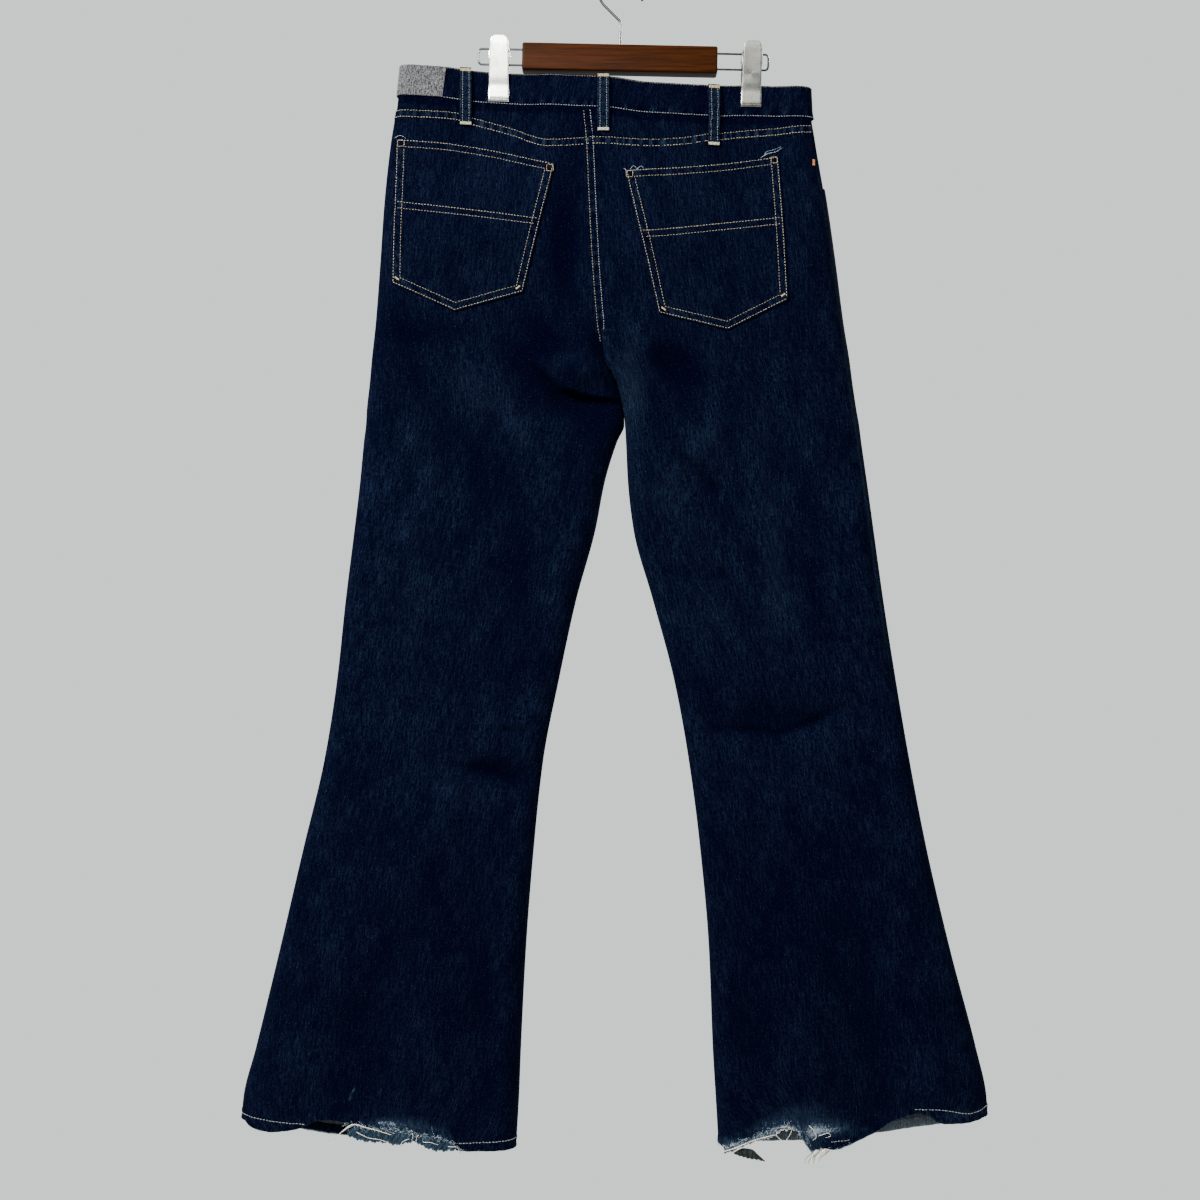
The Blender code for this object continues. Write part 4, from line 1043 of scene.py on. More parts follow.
def panel_columns(leg, side):
    """Each column's fixed share of the half section, and its share of the outseam's place."""
    if side == "back":
        zones = [(0.0, 16), (CORNER, 12)] if leg == "left" else [(CORNER, 12)]
        zones += [(1 - CORNER, 84), (1.0, 18)]
    else:
        zones = [] if leg == "left" else [(0.0, 5), (-CORNER, 12)]
        zones += [(CORNER - 1, 58), (-1.0, 16)]
    fixed, of_seam = [0.0], [1.0]
    start = None
    for end, count in zones:
        for t in np.linspace(0, 1, count + 1)[1:]:
            fixed.append(end * t if start is None else start + (end - start) * t)
            of_seam.append(1 - t if start is None else 0.0)
        start = end
    return np.array(fixed), np.array(of_seam)


HIP_Z = -300.0
FLARE_Z = -1140.0


def make_panel(leg, side, top_edge):
    """One leg panel, from its top edge to the hem."""
    fixed, of_seam = panel_columns(leg, side)

    def sigma_for(z):
        return fixed + of_seam * outseam[leg](z)

    def edge_x(z):
        return section(leg, sigma_for(z), z)[0]

    fine = side == "back"
    top = top_edge(sigma_for(SCOOP_Z), edge_x(MOUTH_Z))
    rows = [top + (HIP_Z - top) * t for t in np.linspace(0, 1, 48 if fine else 40)]
    rows += [np.full(len(fixed), z) for z in np.linspace(HIP_Z, CROTCH_Z, 88 if fine else 34)[1:]]
    stops = [(CROTCH_Z, -565, 42), (-565, -735, 34), (-735, -860, 48), (-860, FLARE_Z, 52)]
    for start, end, count in stops:
        count = count if fine else int(count * 0.55)
        rows += [np.full(len(fixed), z) for z in np.linspace(start, end, count + 1)[1:]]
    foot_x = edge_x(HEM_Z)
    foot = hem_edge(leg, side, foot_x)
    hem_top = foot + 13.0
    rows += [FLARE_Z + (hem_top - FLARE_Z) * t for t in np.linspace(0, 1, 10)[1:]]
    heights = [12.0, 11.0, 10.2, 9.4, 8.4, 7.0, 5.5, 4.0, 2.6, 1.4, 0.7, 0.25, 0.0]
    rows += [foot + height for height in heights]
    z = np.array(rows)
    sigma = fixed[None, :] + of_seam[None, :] * outseam[leg](z)
    x = section(leg, sigma, z)[0]
    above = z - foot[None, :]
    whole = 1 - worn_share(leg, foot_x) if side == "back" else np.ones(len(fixed))
    wall = DENIM + 1.3 * (1 - ease(above, 10.0, 12.0)) * whole[None, :]
    round_edge = 0.9 * (1 - np.sqrt(np.clip(1 - (1 - np.clip(above / 1.4, 0, 1)) ** 2, 0, 1)))
    drop = np.where(whole[None, :] > 0.5, round_edge, 0.35 * round_edge)
    turned_rows = 0 if (leg, side) == ("right", "front") else 11
    cloth(side + "_leg_" + leg, leg, sigma, z, wall, lift=panel_lift(leg, side, x, z),
          wear_and_painted_light=panel_wear_and_painted_light(leg, side, x, z), drop=drop, turned_rows=turned_rows)


def scoop_distance(leg, sigma):
    """Length along the section from the outseam, at the height of the pocket mouth."""
    stops = np.linspace(float(outseam[leg](SCOOP_Z)), sigma, 24)
    points = surface(leg, stops, np.full(24, SCOOP_Z))
    return float(np.linalg.norm(np.diff(points, axis=0), axis=1).sum())


def scoop_edge(leg, sigma, x):
    """The edge of the front pocket's mouth: a quarter round from the outseam to the band."""
    reach = np.array([min(scoop_distance(leg, s) / SCOOP_WIDTH, 1.0) for s in np.ravel(sigma)])
    return band_foot("front", x) - SEAM_GAP - SCOOP_DEPTH * np.sqrt(1 - reach**2)


def make_panels():
    for leg in LEGS:
        make_panel(leg, "back", lambda sigma, x: yoke_seam(x))
        make_panel(leg, "front", lambda sigma, x, leg=leg: scoop_edge(leg, sigma, x))


def make_yokes():
    """The yoke of each leg, from the band down to the seam over the seat."""
    for leg in LEGS:
        fixed, of_seam = panel_columns(leg, "back")
        sigma_row = fixed + of_seam * outseam[leg](YOKE_Z)
        x = section(leg, sigma_row, YOKE_Z)[0]
        top, foot = band_foot("back", x), yoke_seam(x)
        shares = np.linspace(0, 1, 15)[:, None]
        z = top + (foot - top) * shares
        sigma = np.broadcast_to(sigma_row, z.shape)
        below_band, above_seam = top - z, z - foot
        beside = np.abs(x - form[leg + "_inner"](z))
        lift = 0.5 * pucker(x, below_band, 8.0) + pucker(x, above_seam, 8.0)
        lift += 0.6 * (1 - ease(beside, 4.8, 6.6)) + pucker(z, beside, 11.0)
        creased = relief(leg, "back", x, z)
        # painted shade in the creases' troughs and highlight on their ridges, and painted shade
        # all over the yoke, where the key light falls strongest
        wear_and_painted_light = 0.014 * np.maximum(creased, 0) + 0.035 * np.minimum(creased, 0) - 0.12
        # painted shadow under the band; the gathers by the band and down the seat's seam are worn
        # pale on top, with painted shade between them
        wear_and_painted_light = wear_and_painted_light - 0.2 * fell(below_band, 6.0) + roping_and_painted_shade(x, below_band - 4, 4.0, 0.12)
        wear_and_painted_light = wear_and_painted_light + roping_and_painted_shade(z, beside - 2, 4.0, 0.2)
        cloth("yoke_" + leg, leg, sigma, z, DENIM, lift=lift, wear_and_painted_light=wear_and_painted_light)


def make_facings():
    """The cloth behind each pocket mouth, a layer below the front panel."""
    for leg in LEGS:
        seam = float(outseam[leg](SCOOP_Z))
        stops = spread(seam, -0.9, 90)
        end = [s for s in stops if scoop_distance(leg, s) < SCOOP_WIDTH + FACING_PAST][-1]
        sigma_row = np.array(spread(seam, end, 30))
        x = section(leg, sigma_row, MOUTH_Z)[0]
        top, foot = band_foot("front", x), scoop_edge(leg, sigma_row, x) - FACING_BELOW
        z = top + (foot - top) * np.linspace(0, 1, 24)[:, None]
        sigma = np.broadcast_to(sigma_row, z.shape)
        lift = -(DENIM + SEAM_GAP) + pucker(x, top - z, 8.0, 0.2)
        cloth("front_pocket_facing_" + leg, leg, sigma, z, DENIM, lift=lift, wear_and_painted_light=0.0)


# ---- waistband ----


def band_line():
    """Stations (leg, sigma, tuck) round the waist; the inner end tucks under the outer."""
    tuck = BAND_WALL + SEAM_GAP
    stations = []
    for x in spread(LAP_UNDER_X, 56, 24):
        leg = "left" if x < front_centre(BAND_Z) else "right"
        sigma = float(sigma_at(leg, "front", x, BAND_Z))
        stations.append((leg, sigma, tuck * (1 - float(ease(x, LAP_TIP_X + 6, 52)))))
    run = abs(float(sigma_at("right", "front", 58.0, BAND_Z)))
    stations += [("right", -sigma, 0.0) for sigma in spread(run, CORNER, 34)]
    for leg, start, end, count in (
        ("right", -CORNER, CORNER, 22), ("right", CORNER, 1, 56), ("left", 1, CORNER, 56),
        ("left", CORNER, -CORNER, 22), ("left", -CORNER, -1, 56),
    ):
        stations += [(leg, sigma, 0.0) for sigma in spread(start, end, count)[1:]]
    for x in spread(3.0, LAP_TIP_X, 6):
        stations.append(("right", float(sigma_at("right", "front", x, BAND_Z)), 0.0))
    return stations


def band_faces(stations, share):
    """The band's places and outward directions at a share of its height."""
    sigma = np.array([station[1] for station in stations])
    on_left = np.array([station[0] == "left" for station in stations])
    points, outward = np.zeros((len(stations), 3)), np.zeros((len(stations), 3))
    for leg, here in (("left", on_left), ("right", ~on_left)):
        x = section(leg, sigma[here], BAND_Z)[0]
        foot = np.where(sigma[here] >= 0, band_foot("back", x), band_foot("front", x))
        z = foot + BAND_HEIGHT * share
        points[here] = surface(leg, sigma[here], z)
        outward[here] = normals(leg, sigma[here], z)
    return points, outward


def make_waistband():
    """One band all round, lapped at the front, with gathers along both of its edges."""
    stations = band_line()
    tucks = np.array([tuck for _, _, tuck in stations])
    shares, drops = edge_shares(9, BAND_HEIGHT, 1.2)
    outer, inner = [], []
    for share, drop in zip(shares[::-1], drops[::-1]):
        points, outward = band_faces(stations, share)
        round_waist = run_along(points)
        height = share * BAND_HEIGHT
        gathers = pucker(round_waist, height - 1.5, 9.0, 0.55)
        gathers += pucker(round_waist + 40, BAND_HEIGHT - height - 1.5, 6.0, 0.22)
        face = BAND_PROUD - tucks + gathers - drop
        outer.append(points + outward * face[:, None])
        inner.append(points + outward * (BAND_PROUD - BAND_WALL - tucks + drop)[:, None])
    height = (shares[::-1] * BAND_HEIGHT)[:, None]
    # the top edge is worn pale; the band is darker all over, painted shade where the key light
    # falls strongest, and its gathers are worn pale on top with painted shade between them
    wear_and_painted_light = 0.14 * bell(height - BAND_HEIGHT, 1.0) - 0.15
    wear_and_painted_light = wear_and_painted_light + roping_and_painted_shade(round_waist, height - 4, 5.0, 0.32)
    wear_and_painted_light = wear_and_painted_light + roping_and_painted_shade(round_waist + 40, BAND_HEIGHT - height - 3, 4.0, 0.16)
    shell("waistband", pulled_in(np.array(outer), SEAM_GAP), pulled_in(np.array(inner), SEAM_GAP),
          wear_and_painted_light, ("face",))


def make_waistband_patch():
    """Grey cloth over the band's left end, round the side."""
    end = float(sigma_at("left", "back", PATCH_END_X, PATCH_Z))
    sigma_row = np.array(spread(end, CORNER, 20) + spread(CORNER, -CORNER, 26)[1:])
    x = section("left", sigma_row, PATCH_Z)[0]
    shares, drops = edge_shares(10, BAND_HEIGHT * 0.94, 0.8)
    z = band_foot("back", x) + BAND_HEIGHT * (0.98 - 0.94 * shares[:, None])
    sigma = np.broadcast_to(sigma_row, z.shape)
    lift = BAND_PROUD + LAY_GAP + PATCH_WALL + pucker(x, 0 * z, 20.0, 0.12)
    drop = np.minimum(drops[:, None], PATCH_WALL / 2 - 0.02) + 0 * z
    cloth("waistband_patch", "left", sigma, z, PATCH_WALL, lift=lift,
          finishes=("grey_weave",), drop=drop)


# ---- what lies on the panels ----


def along_path(points, share):
    """A point at a share of the way along straight runs of equal share."""
    runs = len(points) - 1
    k = min(int(share * runs), runs - 1)
    t = share * runs - k
    return tuple(a + (b - a) * t for a, b in zip(points[k], points[k + 1]))


def pocket_top(pocket, share):
    """A point of the pocket's upper edge, which sags a little between its corners."""
    x, z = along_path([pocket.outer_top, pocket.inner_top], share)
    return x, z - pocket.sag * math.sin(math.pi * share)


POCKET_LIFT = LAY_GAP + POCKET_WALL


def pocket_face(pocket, x, z, from_edge):
    """How far a pocket's face stands off the panel's form: turned edges, gathers, slack mouth."""
    across = (x - pocket.outer_top[0]) / (pocket.inner_top[0] - pocket.outer_top[0])
    below = (pocket.outer_top[1] + pocket.inner_top[1]) / 2 - z
    lift = POCKET_LIFT + 0.55 * (1 - ease(from_edge, 8.6, 10.6))
    lift = lift + pucker(x + z, from_edge - 4, 9.0, 0.28)
    return lift + 1.2 * np.exp(-(((across - 0.45) / 0.3) ** 2) - (below / 16.0) ** 2)


def make_back_pockets():
    for pocket in POCKETS:
        across, side_drop = edge_shares(56, 160.0, 0.6)
        down, top_drop = edge_shares(56, 150.0, 0.6)
        half = int(np.argmin(np.abs(across - 0.5)))
        across[half] = 0.5
        x, z = np.zeros((len(down), len(across))), np.zeros((len(down), len(across)))
        for c, share in enumerate(across):
            top_x, top_z = pocket_top(pocket, share)
            low_x, low_z = along_path([pocket.outer_low, pocket.point, pocket.inner_low], share)
            x[:, c] = top_x + (low_x - top_x) * down
            z[:, c] = top_z + (low_z - top_z) * down
        sigma = sigma_at(pocket.leg, "back", x, z)
        tall = z[:1] - z[-1:]
        from_side = np.minimum(across, 1 - across)[None, :] * np.abs(x[:, -1:] - x[:, :1])
        from_top, from_foot = down[:, None] * tall, (1 - down)[:, None] * tall
        from_edge = np.minimum(np.minimum(from_top, from_side), from_foot)
        lift = pocket_face(pocket, x, z, from_edge)
        # the edges are worn pale; the pocket is a little darker all over, painted shade where the
        # key light falls strongest, and its gathers are worn pale on top with painted shade
        # between them
        wear_and_painted_light = 0.08 * bell(from_edge, 1.0) - 0.05
        wear_and_painted_light = wear_and_painted_light + roping_and_painted_shade(x + z, from_edge - 4.5, 4.5, 0.2)
        cloth("back_pocket_" + pocket.leg, pocket.leg, sigma, z, POCKET_WALL, lift=lift,
              wear_and_painted_light=wear_and_painted_light, drop=np.minimum(grid_drop(top_drop, side_drop), 0.55))


def loop_leg(loop):
    """The leg that a belt loop lies over."""
    centre = form["left_inner"](YOKE_Z) if loop.side == "back" else front_centre(YOKE_Z)
    return "left" if loop.x < centre else "right"


def make_belt_loops():
    """Belt loops that arch off the band, ribbed by their two rows of stitches."""
    arch = read(LOOP_ARCH, "share", "off")
    for loop in LOOPS:
        leg = loop_leg(loop)
        across, side_drop = edge_shares(6, LOOP_WIDTH, 0.85)
        down, top_drop = edge_shares(34, loop.top - loop.foot, 0.85)
        z = np.broadcast_to((loop.top + (loop.foot - loop.top) * down)[:, None],
                            (len(down), len(across)))
        x = np.broadcast_to(loop.x + LOOP_WIDTH * (across - 0.5), z.shape)
        sigma = sigma_at(leg, loop.side, x, z)
        drop = np.minimum(grid_drop(top_drop, side_drop), LOOP_WALL / 2 - 0.05)
        stitched = 0.12 * np.cos((across - 0.5) * 4 * math.pi)[None, :]
        off = arch(down)[:, None] + 0 * z
        outer, inner, _ = stand_off(leg, sigma, z, off + LOOP_WALL - drop + stitched, off + drop)
        ends = bell(np.minimum(down, 1 - down), 0.05)[:, None]
        wear_and_painted_light = 0.02 + 0.05 * bell(np.minimum(across, 1 - across), 0.1)[None, :]
        wear_and_painted_light = wear_and_painted_light + 0.15 * ends + 0.05 * np.sin(z * 0.9)
        shell(loop.name, outer, inner, wear_and_painted_light, ("worn_face",))


def fly_edge(z):
    """How far the fly's free edge lies from the centre: straight, then a J."""
    share = (band_foot("front", 0.0) - SEAM_GAP - z) / FLY_LENGTH
    bend = np.maximum(share - 0.55, 0.0) ** 2 / 0.45**2
    return FLY_WIDTH * np.sqrt(np.maximum(1 - bend, 0.02))


def make_fly_flap():
    top = float(band_foot("front", 0.0))
    across, side_drop = edge_shares(14, FLY_WIDTH, 0.6)
    down, top_drop = edge_shares(50, FLY_LENGTH, 0.6)
    z = np.broadcast_to((top - SEAM_GAP - FLY_LENGTH * down)[:, None], (len(down), len(across)))
    x = front_centre(z) - 1.0 - fly_edge(z) * across[None, :]
    sigma = sigma_at("left", "front", x, z)
    lift = LAY_GAP + DENIM + pucker(z, fly_edge(z) * (1 - across[None, :]) - 4, 7.0, 0.25)
    wear_and_painted_light = 0.1 * bell(across[None, :] * FLY_WIDTH, 1.6) + 0 * z
    cloth("fly_flap", "left", sigma, z, DENIM, lift=lift, wear_and_painted_light=wear_and_painted_light,
          drop=np.minimum(grid_drop(top_drop, side_drop), 0.55))


# ---- stitching ----

# One stitch: rings of five points along it, sunk at both ends where the thread goes in.
STITCH_RINGS = table(
    "along radius height",
    (-1.0, 0.45, -0.9), (-0.6, 0.95, -0.1), (0.6, 0.95, -0.1), (1.0, 0.45, -0.9),
)
RING_SIDES = 5
sewn = {}


def put_stitches(group, centres, along, outward, half, radius):
    """Keeps stitches for a group: places and directions as arrays, sizes in millimetres."""
    count = len(centres)
    sizes = np.broadcast_to(half, count), np.broadcast_to(radius, count)
    sewn.setdefault(group, []).append((centres, along, outward, *sizes))


def between(stops, run, values):
    """A row of points or directions, read at other distances along it."""
    return np.stack([np.interp(stops, run, column) for column in values.T], 1)


def sew(group, points, outward, pitch=STITCH, thread=THREAD, share=0.72, skip=None):
    """Stitches along a run of points on the cloth."""
    run = run_along(points)
    stops = np.arange(pitch * 0.6, run[-1] - pitch * 0.3, pitch)
    stops = stops + scatter.uniform(-0.12, 0.12, len(stops))
    centres = between(stops, run, points)
    if skip is not None:
        kept = ~skip(centres)
        stops, centres = stops[kept], centres[kept]
    along = unit(between(stops + 0.6, run, points) - between(stops - 0.6, run, points))
    up = between(stops, run, outward)
    sideways = np.cross(up, along)
    along = along + sideways * scatter.uniform(-0.07, 0.07, (len(stops), 1))
    centres = centres + sideways * scatter.uniform(-0.1, 0.1, (len(stops), 1))
    half = pitch * share / 2 * scatter.uniform(0.94, 1.05, len(stops))
    put_stitches(group, centres + up * thread * 0.28, along, up, half, thread / 2)


def on_panel(leg, side, x, z, lift=None):
    """Points and directions on a panel's own face, or lift above its plain form."""
    off = panel_lift(leg, side, x, z) if lift is None else lift
    return stand_off(leg, sigma_at(leg, side, x, z), z, off)


def dense(line, step=1.0):
    """Points every step along a broken line of (x, z)."""
    points = np.array(line, float)
    run = run_along(points)
    stops = np.linspace(0, run[-1], max(int(run[-1] / step), 2))
    return between(stops, run, points).T


def inset(outline, distance):
    """A closed outline drawn in by a distance, its corners mitred. It runs clockwise."""
    points = np.array(outline, float)
    before, after = points - np.roll(points, 1, axis=0), np.roll(points, -1, axis=0) - points
    before, after = unit(before), unit(after)
    side_one = np.stack([before[:, 1], -before[:, 0]], 1)
    side_two = np.stack([after[:, 1], -after[:, 0]], 1)
    middle = side_one + side_two
    middle /= np.sum(middle * side_one, axis=1, keepdims=True)
    return points + middle * distance


def bar_tack(group, points, outward, length, width, along):
    """A close row of threads across a short bar, over two threads that run along it."""
    across = np.cross(outward, along)
    stops = np.arange(-length / 2, length / 2 + 0.01, 0.52)
    centres = points + along * stops[:, None] + outward * 0.35
    count = len(stops)
    tilt = along * (0.12 * (-1) ** np.arange(count))[:, None]
    put_stitches(group, centres, across + tilt, np.tile(outward, (count, 1)),
                 width / 2 * scatter.uniform(0.92, 1.06, count), 0.34)


def tack_on_panel(group, leg, side, x, z, length, width, line, lift=None):
    """A bar tack at a place on a panel, lying along a direction (x, z)."""
    x, z = np.array([x, x + line[0]]), np.array([z, z + line[1]])
    point, outward = on_panel(leg, side, x, z, lift)
    along = point[1] - point[0]
    bar_tack(group, point[0], outward[0], length, width, along / np.linalg.norm(along))


def build_stitching():
    """Turns each group's stitches into one mesh."""
    turn = np.arange(RING_SIDES) / RING_SIDES * math.tau
    rings = [
        [(r.along, r.radius * math.cos(a), r.radius * math.sin(a) + r.height) for a in turn]
        for r in STITCH_RINGS
    ]
    template = np.array(rings).reshape(-1, 3)
    faces = []
    for ring in range(len(STITCH_RINGS) - 1):
        for n in range(RING_SIDES):
            m = (n + 1) % RING_SIDES
            one, two = ring * RING_SIDES, (ring + 1) * RING_SIDES
            faces.append((one + n, one + m, two + m, two + n))
    last = (len(STITCH_RINGS) - 1) * RING_SIDES
    caps = [tuple(range(RING_SIDES - 1, -1, -1)), tuple(range(last, last + RING_SIDES))]
    for (name, finish), lots in sewn.items():
        centres, along, outward, half, radius = (
            np.concatenate([lot[k] for lot in lots]) for k in range(5)
        )
        sideways = unit(np.cross(outward, along))
        points = (
            centres[:, None, :]
            + along[:, None, :] * (template[None, :, 0] * half[:, None])[..., None]
            + sideways[:, None, :] * (template[None, :, 1] * radius[:, None])[..., None]
            + outward[:, None, :] * (template[None, :, 2] * radius[:, None])[..., None]
        )
        size = len(template)
        every = []
        for k in range(len(centres)):
            every += [[v + k * size for v in face] for face in faces + caps]
        mesh = bpy.data.meshes.new(name)
        mesh.from_pydata((points.reshape(-1, 3) * MM).tolist(), [], every)
        mesh.shade_smooth()
        new_object(name, mesh, (finish,))


# The row of stitches beside the seat's seam on each half.
SEAT_ROWS = dict(zip(LEGS, table(
    "finish foot thread pitch", ("tobacco", -391.0, THREAD, STITCH), ("ecru", -380.0, 0.85, 2.7),
)))


def sew_yoke_and_seat():
    """Double rows below the yokes' seam, and one row down each side of the seat's."""
    for leg in LEGS:
        for row, group in ((1.5, "tobacco"), (1.5 + ROW_APART, "gold")):
            sigma = np.linspace(float(outseam[leg](YOKE_Z)), 0.995, 330)
            x = section(leg, sigma, MOUTH_Z)[0]
            z = yoke_seam(x) - row
            sew(("yoke_stitching_" + group, group),
                *stand_off(leg, sigma, z, panel_lift(leg, "back", x, z)))
        row = SEAT_ROWS[leg]
        z = np.linspace(float(band_foot("back", -36.0)) - 2, row.foot, 260)
        x = form[leg + "_inner"](z) - TOWARD[leg] * (3.3 - 2.2 * ease(-z, 370.0, 391.0))
        sew(("seat_seam_stitching_" + leg, row.finish), *on_panel(leg, "back", x, z),
            thread=row.thread, pitch=row.pitch)


def sew_hems():
    """One heavy row round each hem, lost where the back hems have worn through."""
    for leg in LEGS:
        for side in ("back", "front"):
            ends = (0.02, 0.97) if side == "back" else (-0.02, -0.94)
            sigma = np.linspace(*ends, 340)
            x = section(leg, sigma, HEM_Z)[0]
            z = hem_seam[leg](x) if side == "back" else hem_edge(leg, side, x) + 9.4

            def lost(places, leg=leg, side=side):
                gone = np.zeros(len(places), bool)
                for start, end in HEM_SEAM_LOST[leg] if side == "back" else []:
                    gone |= (places[:, 0] > start) & (places[:, 0] < end)
                return gone

            sew(("hem_stitching_" + leg, "ecru" if side == "back" else "gold"),
                *stand_off(leg, sigma, z, panel_lift(leg, side, x, z)),
                pitch=3.4, thread=0.8, share=0.84, skip=lost)


def sew_waistband():
    """A row along each edge of the band, hidden where the grey cloth covers it."""
    stations = band_line()
    tucks = np.array([tuck for _, _, tuck in stations])
    for share, group, thread in ((0.96, "tobacco", 0.5), (0.045, "ecru", 0.85)):
        points, outward = band_faces(stations, share)
        points = points + outward * (BAND_PROUD - tucks)[:, None]
        outside = (tucks < 0.3) | (points[:, 0] > LAP_TIP_X + 1)
        start = int(np.argmax(outside))
        points, outward = points[start:], outward[start:]

        def under_patch(places):
            return (places[:, 0] < PATCH_END_X) & (places[:, 1] < 4.0)

        sew(("waistband_stitching_" + group, group), points, outward, pitch=2.7, thread=thread,
            skip=under_patch)


def sew_pockets():
    """Plain double rows round each pocket and straight across it."""
    for pocket in POCKETS:
        top = [pocket_top(pocket, share) for share in np.linspace(0, 1, 13)]
        outline = top + [pocket.inner_low, pocket.point, pocket.outer_low]
        if pocket.leg == "right":
            outline = outline[::-1]
        for distance, group in ((EDGE_ROW, "gold"), (EDGE_ROW + ROW_APART, "tobacco")):
            line = inset(outline, distance)
            x, z = dense(np.vstack([line, line[:1]]))
            lift = pocket_face(pocket, x, z, distance)
            sew(("back_pocket_stitching_" + pocket.leg + "_" + group, group),
                *on_panel(pocket.leg, "back", x, z, lift))
        for share, group in ((0.44, "gold"), (0.44 + ROW_APART / 150.0, "tobacco")):
            ends = [
                along_path([pocket_top(pocket, t), low], share)
                for t, low in ((0.0, pocket.outer_low), (1.0, pocket.inner_low))
            ]
            x, z = dense(ends)
            x, z = x[3:-3], z[3:-3]
            from_edge = np.minimum(np.abs(x - ends[0][0]), np.abs(x - ends[1][0]))
            sew(("back_pocket_stitching_" + pocket.leg + "_" + group, group),
                *on_panel(pocket.leg, "back", x, z, pocket_face(pocket, x, z, from_edge)))
        tack_pocket_corners(pocket)


def tack_pocket_corners(pocket):
    """A stitched box at each upper corner and a short bar at each lower one."""
    group = ("pocket_corner_tacks_" + pocket.leg, "amber")
    toward_in = TOWARD[pocket.leg]
    for corner, inward in ((pocket.outer_top, toward_in), (pocket.inner_top, -toward_in)):
        near, far = EDGE_ROW, EDGE_ROW + ROW_APART
        low = corner[1] - far
        near_x, far_x = corner[0] + inward * near, corner[0] + inward * far
        high = corner[1] - near
        box = [(near_x, high), (far_x, high), (far_x, low), (near_x, low)]
        for line in zip(box, box[1:] + box[:1]):
            x, z = dense(line, 0.5)
            lift = pocket_face(pocket, x, z, near) + 0.2
            sew(group, *on_panel(pocket.leg, "back", x, z, lift), pitch=1.5, thread=0.62,
                share=0.95)
    for corner, inward in ((pocket.outer_low, toward_in), (pocket.inner_low, -toward_in)):
        tack_on_panel(group, pocket.leg, "back", corner[0] + inward * 5.5, corner[1] + 4.5,
                      5.0, 2.0, (inward * 0.7, -0.5), POCKET_LIFT + 0.5)


def sew_loops():
    """Two rows down each belt loop, and bar tacks across its ends."""
    arch = read(LOOP_ARCH, "share", "off")
    for loop in LOOPS:
        leg = loop_leg(loop)
        down = np.linspace(0.03, 0.97, 90)
        z = loop.top + (loop.foot - loop.top) * down
        for offset in (-3.4, 3.4):
            x = np.full(90, loop.x + offset)
            sew(("belt_loop_stitching", "ecru"),
                *on_panel(leg, loop.side, x, z, arch(down) + LOOP_WALL), pitch=2.6, thread=0.55)
        for group, z_at, share in (
            ("amber", loop.top - 2.4, 0.04), ("pale_green", loop.foot + 1.8, 0.97),
        ):
            for row in (0.0, 1.3):
                tack_on_panel(("belt_loop_tacks_" + group, group), leg, loop.side, loop.x,
                              z_at - row, LOOP_WIDTH - 1.0, 2.0, (1.0, 0.0),
                              float(arch(share)) + LOOP_WALL)


def sew_front():
    """The fly's J, the double rows down the front rise and round the pocket mouths."""
    top = float(band_foot("front", 0.0)) - SEAM_GAP
    for inside, group in ((2.0, "gold"), (2.0 + ROW_APART, "tobacco")):
        z = np.linspace(top - 2, top - FLY_LENGTH + 3 + inside, 200)
        x = front_centre(z) - 1.0 - np.maximum(fly_edge(z) - inside, 1.0)
        sew(("fly_stitching_" + group, group), *on_panel("left", "front", x, z, LAY_GAP + DENIM))
    low = np.linspace(top - FLY_LENGTH - 4, -462.0, 120)
    for offset, group in ((-2.4, "gold"), (-2.4 - ROW_APART, "tobacco")):
        sew(("fly_stitching_" + group, group),
            *on_panel("left", "front", front_centre(low) + offset, low))
    tacks = ("front_tacks", "orange")
    tack_on_panel(tacks, "left", "front", -6.0, top - FLY_LENGTH + 2, 7.0, 2.0, (0.0, 1.0),
                  LAY_GAP + DENIM)
    for leg in LEGS:
        seam = float(outseam[leg](SCOOP_Z))
        stops = [s for s in spread(seam, -0.9, 240) if scoop_distance(leg, s) < SCOOP_WIDTH - 0.8]
        sigma = np.array(stops)
        x = section(leg, sigma, MOUTH_Z)[0]
        edge = scoop_edge(leg, sigma, x)
        toward = TOWARD[leg]
        for below, group in ((1.8, "gold"), (1.8 + ROW_APART, "tobacco")):
            share = np.linspace(0, 1, len(sigma))
            x_row = x + toward * below * share * 0.9
            z_row = edge - below * (1 - share * 0.55)
            kept = z_row < band_foot("front", x_row) - 1
            sew(("pocket_mouth_stitching_" + group, group),
                *on_panel(leg, "front", x_row[kept], z_row[kept]))
        tack_on_panel(tacks, leg, "front", float(x[0]) + toward * 3, float(edge[0]) - 3.0,
                      7.0, 2.0, (toward * 1.0, 0.05))
    side_z = float(band_foot("back", 190.0)) - SCOOP_DEPTH + 26.0
    tack_on_panel(tacks, "right", "back", 198.0, side_z, 6.0, 3.0, (0.0, 1.0))


# ---- worn hems and loose threads ----


